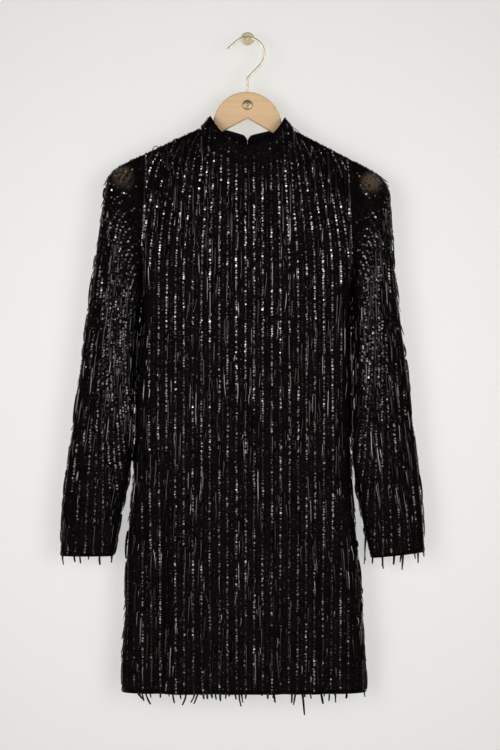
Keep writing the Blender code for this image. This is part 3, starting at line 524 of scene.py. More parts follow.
def add_piece(
    name: str, mesh: bpy.types.Mesh, finishes: list[bpy.types.Material]
) -> bpy.types.Object:
    """Puts a mesh in the scene as a piece that rides on the dress.

    Args:
        name: the piece's name.
        mesh: its mesh, in place.
        finishes: its materials.

    Returns:
        The new object.
    """
    piece = bpy.data.objects.new(name, mesh)
    bpy.context.scene.collection.objects.link(piece)
    for finish in finishes:
        mesh.materials.append(finish)
    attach(piece, BODY)
    mesh.calc_loop_triangles()
    LOG.info("%s: %d triangles", name, len(mesh.loop_triangles))
    return piece


def apply_modifiers(piece: bpy.types.Object) -> None:
    """Applies all the modifiers of a piece in order."""
    bpy.ops.object.select_all(action="DESELECT")
    bpy.context.view_layer.objects.active = piece
    piece.select_set(True)
    for modifier in list(piece.modifiers):
        bpy.ops.object.modifier_apply(modifier=modifier.name)
    piece.select_set(False)


# The forms of the cloth


class NeckSide(NamedTuple):
    """The neck's sizes on one side: depth and drop of its seam, depth of the collar's top."""

    base_depth: float
    base_drop: float
    top_depth: float


NECK_SIDES = {
    Side.FRONT: NeckSide(0.0405, 0.0556, 0.0360),
    Side.BACK: NeckSide(0.0265, 0.0331, 0.0205),
}


@dataclass
class BodyForm:
    """The shape of the body's front and back, with the collar that stands on them."""

    hem_z: float = -1.043
    armpit_z: float = -0.402
    armhole_x: float = ARMHOLE_X
    side_power: float = 3.2
    tilt: float = 0.0262
    neck_half_width: float = 0.0745
    neck_side_z: float = -0.1449
    neck_square: float = 0.38
    neck_drop_power: float = 1.6
    neck_blend: float = 0.055
    neck_fade: float = 0.045
    shoulder_slope: float = 0.493
    collar_top_half_width: float = 0.0600
    collar_lift: float = 0.012
    upper_steps: int = 36
    lower_steps: int = 84
    columns: int = 120
    collar_columns: int = 145
    collar_rows: int = 9
    rows: SizeCurve = field(init=False)
    collar_top: SizeCurve = field(init=False)

    def __post_init__(self) -> None:
        """Reads the size tables."""
        table = np.array(BODY_ROWS[::-1])
        self.rows = SizeCurve(table[:, 0], table[:, 1:])
        table = np.array(COLLAR_ROWS)
        self.collar_top = SizeCurve(table[:, 0], table[:, 1])

    def ridge_depth(self, below: np.ndarray) -> np.ndarray:
        """How far the cloth stands out at distances below the shoulder's ridge."""
        table = np.array(RIDGE_ROWS)
        return np.interp(below, table[:, 0], table[:, 1])

    def stand_out(self, below: np.ndarray, full: np.ndarray) -> np.ndarray:
        """How far the cloth stands out where it is to reach a full depth."""
        depth = self.ridge_depth(below)
        share = (full - SHOULDER_DEPTH) / (RIDGE_FULL_DEPTH - SHOULDER_DEPTH)
        beyond = SHOULDER_DEPTH + (depth - SHOULDER_DEPTH) * share
        return np.where(depth <= SHOULDER_DEPTH, depth, beyond)

    def shoulder_z(self, x: np.ndarray) -> np.ndarray:
        """Heights of the shoulder's ridge."""
        slope = (np.abs(x) - self.neck_half_width) * self.shoulder_slope
        return self.neck_side_z - slope - x * self.tilt

    def neck_seam(self, side: Side, bow: np.ndarray) -> tuple[np.ndarray, np.ndarray]:
        """Depths and heights of the neck seam: bow is 0 at the shoulder, 1 at the middle."""
        neck = NECK_SIDES[side]
        drop = neck.base_drop * bow**self.neck_drop_power
        return neck.base_depth * bow**self.neck_square, self.neck_side_z - drop

    def top_edge(self, side: Side, x: np.ndarray) -> tuple[np.ndarray, np.ndarray]:
        """Depths and heights of a panel's top edge: shoulder seam, then neck seam."""
        bow = np.sqrt(np.clip(1 - (x / self.neck_half_width) ** 2, 0, 1))
        depth, z = self.neck_seam(side, bow)
        on_neck = np.abs(x) < self.neck_half_width
        depth = np.where(on_neck, depth, 0.0)
        return depth, np.where(on_neck, z - x * self.tilt, self.shoulder_z(x))

    def crease_depth(self, side: Side, x: np.ndarray, z: np.ndarray) -> np.ndarray:
        """How far the creases draw the cloth in."""
        total = np.zeros(np.broadcast(x, z).shape)
        for crease in CREASES:
            if crease.side is not side:
                continue
            along = (z - crease.top_z) / (crease.bottom_z - crease.top_z)
            held = np.clip(along, 0, 1)
            middle = crease.top_x + (crease.bottom_x - crease.top_x) * held
            trough = np.exp(-(((x - middle) / crease.width) ** 2))
            total += crease.depth * np.sin(np.pi * held) * trough
        return total

    def points(self, side: Side, across: np.ndarray, height: np.ndarray) -> np.ndarray:
        """Points on the body's outside.

        Args:
            side: front or back.
            across: from -1 to 1 between the side seams.
            height: the points' heights.

        Returns:
            The points, with one axis more than the heights.
        """
        row = self.rows.at(height)
        left, right, front, back = (row[..., k] for k in range(4))
        x = across * np.where(across >= 0, right, -left)
        rounding = 1 - np.minimum(np.abs(across), 1) ** self.side_power
        rounding = np.clip(rounding, 0, 1) ** (1 / self.side_power)
        full = front if side is Side.FRONT else back
        full = full - self.crease_depth(side, x, height) * rounding
        start, top = self.top_edge(side, x)
        beyond = np.maximum(np.abs(x) - self.neck_half_width, 0)
        reach = NECK_SIDES[side].base_depth * np.exp(-((beyond / self.neck_fade) ** 2))
        start = start + (reach - start) * eased((top - height) / self.neck_blend)
        inner = start + self.stand_out(top - height, full) * (1 - start / full)
        outer = self.ridge_depth(top - height) * (1 - start / RIDGE_FULL_DEPTH) + start
        armhole_top = self.shoulder_z(np.where(x < 0, -self.armhole_x, self.armhole_x))
        closing = np.clip((armhole_top - height) / (armhole_top - self.armpit_z), 0, 1)
        outer = outer * np.sqrt(1 - closing**3)
        depth = outer + (inner - outer) * rounding
        depth = np.where(height <= self.armpit_z, full * rounding, depth)
        return piled(x, side.value * np.maximum(depth, HALF_SEAM), height)

    def grid(self, side: Side, hand: Hand | None = None) -> SurfaceGrid:
        """The front, or one back.

        Args:
            side: front or back.
            hand: which half, or None for both.

        Returns:
            The panel's grid.
        """
        turn = np.linspace(0, np.pi, self.columns + 1)
        across = -np.cos(turn)
        across[self.columns // 2] = 0.0
        centre = self.columns // 2
        if hand is Hand.LEFT:
            across = across[: centre + 1]
        if hand is Hand.RIGHT:
            across = across[centre:]
            centre = 0
        top = self.top_edge(side, self.armhole_x * across)[1]
        heights = [top - below for below in RIDGE_STEPS]
        first = heights[-1]
        for k in range(1, self.upper_steps + 1):
            heights.append(first + (self.armpit_z - first) * k / self.upper_steps)
        for k in range(1, self.lower_steps + 1):
            fall = (self.hem_z - self.armpit_z) * k / self.lower_steps
            heights.append(np.full_like(top, self.armpit_z + fall))
        heights = np.array(heights)
        points = self.points(side, np.broadcast_to(across, heights.shape), heights)
        if hand:
            seam = points[:, -1 if hand is Hand.LEFT else 0]
            seam[:, 0] = hand.value * HALF_SEAM
        middle = np.zeros((len(heights), 3))
        middle[:, 2] = heights.mean(axis=1)
        return SurfaceGrid(points, middle, centre)

    def collar_points(self, turn: np.ndarray, up: np.ndarray) -> np.ndarray:
        """Points on the collar's outside.

        Args:
            turn: degrees from the centre front.
            up: from 0 at the neck seam to 1 at the top edge.

        Returns:
            The points.
        """
        sine = np.sin(np.radians(turn))
        cosine = np.cos(np.radians(turn))
        bow = np.abs(cosine)
        made = []
        for side in Side:
            depth, z = self.neck_seam(side, bow)
            foot = piled(self.neck_half_width * sine, side.value * depth, z)
            top_y = side.value * NECK_SIDES[side].top_depth * bow**self.neck_square
            top_z = self.collar_top.at(np.abs(turn))[..., 0]
            top = piled(self.collar_top_half_width * sine, top_y, top_z)
            made.append(foot + (top - foot) * up[..., None])
        points = np.where((cosine >= 0)[..., None], made[0], made[1])
        points[..., 2] -= points[..., 0] * self.tilt
        return points

    def collar_grid(self) -> SurfaceGrid:
        """The stand collar, open at the centre back."""
        turn = np.linspace(-180, 180, self.collar_columns)
        up = np.linspace(1, self.collar_lift, self.collar_rows)
        points = self.collar_points(turn[None, :] + 0 * up[:, None], up[:, None] + 0 * turn)
        points[:, 0, 0] = -HALF_SEAM
        points[:, -1, 0] = HALF_SEAM
        middle = np.zeros((len(up), 3))
        middle[:, 2] = points[..., 2].mean(axis=1)
        return SurfaceGrid(points, middle, self.collar_columns // 2)


@dataclass
class SleeveForm:
    """The shape of one sleeve, a tube from its armhole to its cuff."""

    hand: Hand
    cap_end: float = 0.14
    tube_power: float = 2.6
    rings: int = 104
    half_columns: int = 38
    crease_start: float = 0.2
    crease_stop: float = 0.3
    rows: SizeCurve = field(init=False)

    def __post_init__(self) -> None:
        """Reads the size table."""
        table = np.array(LEFT_SLEEVE_ROWS if self.hand is Hand.LEFT else RIGHT_SLEEVE_ROWS)
        self.rows = SizeCurve(np.linspace(0, 1, len(table)), table)

    def points(self, turn: np.ndarray, along: np.ndarray) -> np.ndarray:
        """Points on the sleeve's outside.

        Args:
            turn: once round from the shoulder, front first, from -0.5 to 0.5.
            along: from 0 at the armhole to 1 at the cuff.

        Returns:
            The points.
        """
        ring = self.rows.at(along)
        outer_x, outer_z, inner_x, inner_z, size, forward = (ring[..., k] for k in range(6))
        inward = (1 - np.cos(2 * np.pi * turn)) / 2
        side = np.where(turn >= 0, -1.0, 1.0)
        z = outer_z + (inner_z - outer_z) * inward
        x = outer_x + (inner_x - outer_x) * inward
        rim = np.clip(1 - np.abs(1 - 2 * inward) ** self.tube_power, 0, 1)
        tube = size * rim ** (1 / self.tube_power)
        below = np.clip(outer_z - z, 0, None)
        table = np.array(RIDGE_ROWS)
        armhole = np.interp(below, table[:, 0], table[:, 1])
        closing = np.clip(below / np.maximum(outer_z - inner_z, 1e-6), 0, 1)
        armhole = armhole * np.sqrt(1 - closing**3)
        share = np.clip(along / self.cap_end, 0, 1)
        depth = armhole + (tube - armhole) * share
        for crease in SLEEVE_CREASES:
            fade = np.clip((along - crease.start) / self.crease_start, 0, 1)
            fade = fade * np.clip((crease.end - along) / self.crease_stop, 0, 1)
            trough = np.exp(-(((turn % 1.0 - crease.place) / crease.width) ** 2))
            depth = depth - crease.depth * fade * trough
        return piled(self.hand.value * x, side * np.maximum(depth, 0) - forward, z)

    def grid(self) -> SurfaceGrid:
        """The whole sleeve, from its underarm seam once round to it again."""
        half = 0.25 * (1 - np.cos(np.linspace(0, np.pi, self.half_columns + 1)))
        turn = np.concatenate([-half[::-1], half[1:]])
        along = np.linspace(0, 1, self.rings)
        points = self.points(turn[None, :] + 0 * along[:, None], along[:, None] + 0 * turn)
        return SurfaceGrid(points, points.mean(axis=1), self.half_columns, closed=True)


# Shader tools and finishes


class Value:
    """A shader socket that adds its Math nodes when it is used in an expression."""

    def __init__(self, bench: "NodeBench", socket: bpy.types.NodeSocket) -> None:
        """Wraps one output socket."""
        self.bench = bench
        self.socket = socket

    def _math(self, operation: str, first: Any, second: Any) -> "Value":
        """One Math node on two values."""
        settings = {"operation": operation}
        return self.bench.node("ShaderNodeMath", settings, {0: first, 1: second})

    def __add__(self, other: Any) -> "Value":
        """The sum."""
        return self._math("ADD", self, other)

    __radd__ = __add__

    def __rsub__(self, other: Any) -> "Value":
        """A number less the value."""
        return self._math("SUBTRACT", other, self)

    def __mul__(self, other: Any) -> "Value":
        """The product."""
        return self._math("MULTIPLY", self, other)


class NodeBench:
    """Adds nodes to one new material."""

    def __init__(self, name: str) -> None:
        """Starts a material with a Principled shader."""
        self.material = bpy.data.materials.new(name)
        self.material.use_nodes = True
        self.tree = self.material.node_tree
        self.shader = self.tree.nodes["Principled BSDF"]

    def node(
        self,
        kind: str,
        settings: dict[str, Any] | None = None,
        inputs: dict[int | str, Any] | None = None,
        output: int | str = 0,
    ) -> Value:
        """Adds a node.

        Args:
            kind: the node's type.
            settings: its settings; "stops" gives a ramp's places and colours.
            inputs: the values or links of its sockets.
            output: which of its outputs is used.

        Returns:
            That output.
        """
        made = self.tree.nodes.new(kind)
        for key, value in (settings or {}).items():
            if key == "stops":
                self._set_stops(made.color_ramp, value)
            else:
                setattr(made, key, value)
        for key, value in (inputs or {}).items():
            self.feed(made.inputs[key], value)
        return Value(self, made.outputs[output])

    def _set_stops(self, ramp: bpy.types.ColorRamp, stops: tuple) -> None:
        """Gives a ramp its stops."""
        while len(ramp.elements) < len(stops):
            ramp.elements.new(0.5)
        for element, (place, colour) in zip(ramp.elements, stops):
            element.position = place
            element.color = (*colour, 1.0)

    def feed(self, socket: bpy.types.NodeSocket, value: Any) -> None:
        """Links a value to a socket, or sets the socket's own value."""
        if isinstance(value, Value):
            self.tree.links.new(value.socket, socket)
        else:
            socket.default_value = value

    def dress(self, **values: Any) -> None:
        """Sets or links the shader's sockets, named with _ for each space."""
        for key, value in values.items():
            self.feed(self.shader.inputs[key.replace("_", " ")], value)

    def place(self, scale: Triple = (1.0, 1.0, 1.0)) -> Value:
        """Object coordinates, scaled."""
        place = self.node("ShaderNodeTexCoord", output="Object")
        return self.node("ShaderNodeMapping", {}, {"Vector": place, "Scale": scale})

    def noise(self, place: Value, scale: float, detail: float = 2.0) -> Value:
        """Noise from 0 to 1."""
        inputs = {"Vector": place, "Scale": scale, "Detail": detail}
        return self.node("ShaderNodeTexNoise", {}, inputs)

    def attribute(self, name: str) -> Value:
        """A number kept on the mesh."""
        return self.node("ShaderNodeAttribute", {"attribute_name": name}, output="Fac")

    def ramp(self, share: Value, *stops: tuple) -> Value:
        """A colour ramp."""
        return self.node("ShaderNodeValToRGB", {"stops": stops}, {"Fac": share}, "Color")

    def spread(self, share: Value, low: float, high: float) -> Value:
        """A share from 0 to 1 spread between two values."""
        inputs = {"Value": share, "To Min": low, "To Max": high}
        return self.node("ShaderNodeMapRange", {}, inputs, "Result")

    def bump(self, height: Value, distance: float, strength: float = 1.0) -> Value:
        """A bump for the shader's Normal."""
        inputs = {"Height": height, "Distance": distance, "Strength": strength}
        return self.node("ShaderNodeBump", {}, inputs, "Normal")


class Finish:
    """A finish, which each kind dresses a new material in."""

    name: str

    def make(self) -> bpy.types.Material:
        """Builds the material."""
        bench = NodeBench(self.name)
        self.dress(bench)
        return bench.material

    def dress(self, bench: NodeBench) -> None:
        """Gives the shader its values."""
        raise NotImplementedError


@dataclass(frozen=True)
class NetFinish(Finish):
    """Fine knitted net: small meshes between threads, more or less see-through."""

    name: str
    dark: Colour = (0.0022, 0.0012, 0.0014)
    light: Colour = (0.0056, 0.0039, 0.0043)
    roughness: float = 0.62
    mesh_per_metre: float = 620.0
    clouds_per_metre: float = 46.0
    shine: float = 0.015
    sheer: bool = False
    clear_thread: float = 0.55
    clear_hole: float = 0.5

    def dress(self, bench: NodeBench) -> None:
        """Gives the shader its values."""
        place = bench.place()
        settings = {"feature": "DISTANCE_TO_EDGE"}
        inputs = {"Vector": place, "Scale": self.mesh_per_metre}
        thread = bench.node("ShaderNodeTexVoronoi", settings, inputs, "Distance")
        cloudy = bench.noise(place, self.clouds_per_metre, 3.0)
        bench.dress(
            Base_Color=bench.ramp(cloudy, (0.3, self.dark), (0.75, self.light)),
            Roughness=bench.spread(cloudy, self.roughness - 0.08, self.roughness + 0.12),
            Normal=bench.bump(thread, 0.0004, 0.5),
            Specular_IOR_Level=self.shine,
        )
        if self.sheer:
            hole = bench.spread(thread, 0.0, 2.0)
            clear = self.clear_thread + hole * self.clear_hole
            bench.dress(Alpha=1 - bench.attribute("sheer") * clear)


@dataclass(frozen=True)
class LiningFinish(Finish):
    """Smooth plain lining, black with a trace of purple."""

    name: str = "plain_black_lining"
    dark: Colour = (0.0026, 0.0017, 0.0032)
    light: Colour = (0.0060, 0.0042, 0.0072)
    clouds_per_metre: float = 30.0
    twill_scale: float = 420.0
    shine: float = 0.05

    def dress(self, bench: NodeBench) -> None:
        """Gives the shader its values."""
        place = bench.place()
        soft = bench.noise(place, self.clouds_per_metre, 2.0)
        settings = {"wave_type": "BANDS", "bands_direction": "DIAGONAL"}
        inputs = {"Vector": place, "Scale": self.twill_scale}
        rib = bench.node("ShaderNodeTexWave", settings, inputs)
        bench.dress(
            Base_Color=bench.ramp(soft, (0.25, self.dark), (0.8, self.light)),
            Roughness=bench.spread(soft, 0.45, 0.6),
            Normal=bench.bump(rib, 0.0002, 0.3),
            Specular_IOR_Level=self.shine,
        )


@dataclass(frozen=True)
class SequinFinish(Finish):
    """Black mirror film, each sequin or bead a little lighter or darker than the next."""

    name: str
    dark: Colour = (0.004, 0.0038, 0.0038)
    usual: Colour = (0.062, 0.056, 0.058)
    light: Colour = (0.240, 0.222, 0.228)
    smoothest: float = 0.12
    roughest: float = 0.26
    smears_per_metre: float = 900.0

    def dress(self, bench: NodeBench) -> None:
        """Gives the shader its values."""
        # The tone holds each sequin's own random lightness and also painted light: sequins lower
        # on the dress are made darker.
        tone = bench.attribute("tone")
        smear = bench.noise(bench.place(), self.smears_per_metre, 2.0)
        bench.dress(
            Base_Color=bench.ramp(tone, (0.05, self.dark), (0.65, self.usual), (0.98, self.light)),
            Roughness=bench.spread(smear, self.smoothest, self.roughest),
            Metallic=1.0,
        )


@dataclass(frozen=True)
class BeechFinish(Finish):
    """Pale beech with a satin lacquer: long grain and small dark flecks."""

    name: str = "pale_beech"
    pale: Colour = (0.73, 0.50, 0.295)
    brown: Colour = (0.66, 0.43, 0.235)
    fleck: Colour = (0.42, 0.25, 0.13)
    grain_scale: Triple = (9.0, 60.0, 150.0)
    figure_scale: Triple = (3.0, 20.0, 26.0)
    fleck_scale: Triple = (120.0, 400.0, 900.0)

    def dress(self, bench: NodeBench) -> None:
        """Gives the shader its values."""
        grain = bench.noise(bench.place(self.grain_scale), 1.0, 5.0)
        figure = bench.noise(bench.place(self.figure_scale), 1.0, 2.0)
        flecks = bench.noise(bench.place(self.fleck_scale), 1.0, 1.0)
        base = bench.ramp(grain * 0.6 + figure * 0.4, (0.36, self.brown), (0.62, self.pale))
        share = bench.ramp(flecks, (0.68, (0.0, 0.0, 0.0)), (0.78, (0.5, 0.5, 0.5)))
        settings = {"data_type": "RGBA"}
        colour = bench.node(
            "ShaderNodeMix", settings, {0: share, 6: base, 7: (*self.fleck, 1.0)}, 2
        )
        bench.dress(
            Base_Color=colour,
            Roughness=bench.spread(grain, 0.36, 0.52),
            Normal=bench.bump(grain + flecks * -0.5, 0.0001, 0.2),
            Coat_Weight=0.25,
            Coat_Roughness=0.3,
        )


@dataclass(frozen=True)
class BrassFinish(Finish):
    """Brass with fine scratches and a little tarnish. bareness is below 1 under lacquer."""

    name: str
    bright: Colour = (0.79, 0.60, 0.31)
    tarnished: Colour = (0.52, 0.36, 0.16)
    smoothest: float = 0.18
    bareness: float = 1.0
    tarnish_per_metre: float = 160.0
    scratch_scale: Triple = (300.0, 300.0, 2600.0)

    def dress(self, bench: NodeBench) -> None:
        """Gives the shader its values."""
        tarnish = bench.noise(bench.place(), self.tarnish_per_metre, 4.0)
        scratches = bench.noise(bench.place(self.scratch_scale), 1.0, 3.0)
        bench.dress(
            Base_Color=bench.ramp(tarnish, (0.34, self.tarnished), (0.58, self.bright)),
            Roughness=bench.spread(scratches, self.smoothest, self.smoothest + 0.2),
            Metallic=self.bareness,
            Normal=bench.bump(scratches, 0.00005, 0.4),
        )


@dataclass(frozen=True)
class ButtonFinish(Finish):
    """Glossy black button, faintly clouded."""

    name: str = "black_button"
    dark: Colour = (0.006, 0.006, 0.007)
    light: Colour = (0.02, 0.019, 0.02)

    def dress(self, bench: NodeBench) -> None:
        """Gives the shader its values."""
        cloud = bench.noise(bench.place(), 300.0, 2.0)
        bench.dress(
            Base_Color=bench.ramp(cloud, (0.3, self.dark), (0.7, self.light)),
            Roughness=bench.spread(cloud, 0.15, 0.28),
        )


@dataclass(frozen=True)
class ThreadFinish(Finish):
    """Black sewing thread, twisted."""

    name: str = "black_thread"
    dark: Colour = (0.002, 0.002, 0.002)
    light: Colour = (0.007, 0.006, 0.006)
    twists_per_metre: float = 2200.0
    shine: float = 0.1

    def dress(self, bench: NodeBench) -> None:
        """Gives the shader its values."""
        twist = bench.noise(bench.place(), self.twists_per_metre, 1.0)
        bench.dress(
            Base_Color=bench.ramp(twist, (0.3, self.dark), (0.7, self.light)),
            Roughness=bench.spread(twist, 0.5, 0.7),
            Specular_IOR_Level=self.shine,
        )


@dataclass(frozen=True)
class PaintFinish(Finish):
    """Matt pale paint, faintly uneven.

    Attributes:
        painted_glow: how strongly the paint gives off painted light of its own, standing in for
            lamp light that lifts the shadows on it; 0 for not at all.
        middle: the place where that painted light is brightest, in coordinates scaled by spans.
        painted_falloff_share: how much of the painted light is left far away from the middle, a
            painted falloff of light.
    """

    name: str
    pale: Colour
    shaded: Colour
    painted_glow: float = 0.0
    middle: Triple = (0.0, 0.0, 0.0)
    spans: Triple = (1.0, 1.0, 1.0)
    painted_falloff_share: float = 0.72
    shine: float = 0.1

    def dress(self, bench: NodeBench) -> None:
        """Gives the shader its values."""
        cloud = bench.noise(bench.place(), 1.3, 2.0)
        bench.dress(
            Base_Color=bench.ramp(cloud, (0.3, self.shaded), (0.7, self.pale)),
            Roughness=0.85,
            Specular_IOR_Level=self.shine,
        )
        # Painted light: the paint gives off light of its own, brightest at the middle and fading
        # towards the edges like falling lamp light.
        if self.painted_glow > 0:
            settings = {"operation": "DISTANCE"}
            inputs = {0: bench.place(self.spans), 1: self.middle}
            away = bench.node("ShaderNodeVectorMath", settings, inputs, "Value")
            painted_falloff_colour = tuple(self.painted_falloff_share * share for share in self.pale)
            painted_glow_colour = bench.ramp(away, (0.28, self.pale), (0.8, painted_falloff_colour))
            bench.dress(Emission_Color=painted_glow_colour, Emission_Strength=self.painted_glow)


# Trim laid on the sheets


class SequinSize(NamedTuple):
    """One kind of sequin row.

    swing is how far whole runs of a row turn sideways, tilt how far each sequin strays from it.
    """

    radius: float
    spacing: float
    lift: float
    swing: float
    tilt: float
    tone: float


ROUND_SEQUIN = SequinSize(0.00165, 0.0039, 0.0009, 0.22, 0.07, 0.60)
SMALL_SEQUIN = SequinSize(0.00110, 0.0046, 0.0006, 0.14, 0.12, 0.12)
CUP = 0.06
FEWEST_ROWS = 4
SWING_HEIGHTS = (-1.06, -0.75, -0.45, -0.20)
SWING_SHARES = (0.42, 0.52, 0.80, 1.15)
# Painted light: sequins are made lighter high on the dress and darker lower down, standing in for
# the light falling off down the dress.
PAINTED_LIGHT_TONE_SHARES = (0.60, 0.64, 0.82, 1.12)
PLUMB = np.array([1.0, 1.0, 0.45])
SHADE_WAVES = (30, 80)
SLOW_WAVES = (20, 60)
QUICK_WAVES = (90, 260)
TOWARDS_FRONT = np.array([0.05, -1.0, 0.08])
WIDTH_SPREAD = (0.7, 1.2)


def frames(normals: np.ndarray, downs: np.ndarray) -> tuple[np.ndarray, np.ndarray]:
    """Sideways and upward directions that lie square to each normal."""
    up = -downs
    up = unit(up - normals * np.sum(up * normals, axis=-1, keepdims=True))
    return np.cross(up, normals), up


def off_the_wall(points: np.ndarray) -> np.ndarray:
    """Presses points that would reach the wall behind the dress forward of it."""
    points[..., 1] = np.minimum(points[..., 1], WALL_CLEARANCE)
    return points


def cupped_sequins(name: str, places: dict[str, np.ndarray]) -> bpy.types.Mesh:
    """Shallow six-sided cups, one at each place.

    Args:
        name: the mesh's name.
        places: arrays of centre, normal, down, radius and tone.

    Returns:
        All the sequins in one mesh.
    """
    normals = unit(places["normal"])
    sideways, up = frames(normals, places["down"])
    count = len(normals)
    radius = places["radius"][:, None]
    points = np.empty((count, HEXAGON + 1, 3))
    points[:, 0] = places["centre"] - normals * radius * CUP
    for corner in range(HEXAGON):
        angle = 2 * np.pi * corner / HEXAGON
        reach = sideways * math.cos(angle) + up * math.sin(angle)
        points[:, corner + 1] = places["centre"] + reach * radius
    fan = [[0, corner + 1, (corner + 1) % HEXAGON + 1] for corner in range(HEXAGON)]
    faces = np.array(fan)[None] + np.arange(count)[:, None, None] * (HEXAGON + 1)
    mesh = mesh_of(name, off_the_wall(points).reshape(-1, 3), faces.reshape(-1, 3))
    mark(mesh, "tone", np.repeat(places["tone"], HEXAGON + 1))
    return mesh


def running_length(line: np.ndarray) -> np.ndarray:
    """The distance along a line at each of its points."""
    step = np.linalg.norm(np.diff(line, axis=0), axis=1)
    return np.concatenate([[0], np.cumsum(step)])


def ripple(at: np.ndarray, waves: tuple[int, int], rng: np.random.Generator) -> np.ndarray:
    """A wave along a row, its wave number drawn between two limits and its start at random."""
    return np.sin(at * rng.uniform(*waves) + rng.uniform(0, FULL_TURN))


@dataclass
class LaidRow:
    """The places of one row's sequins.

    Attributes:
        at: distances along the row.
        centre: their places on the sheet.
        normal: the sheet's outward directions there.
        down: the row's own directions there.
        loose: which of them stray from the row.
    """

    at: np.ndarray
    centre: np.ndarray
    normal: np.ndarray
    down: np.ndarray
    loose: np.ndarray


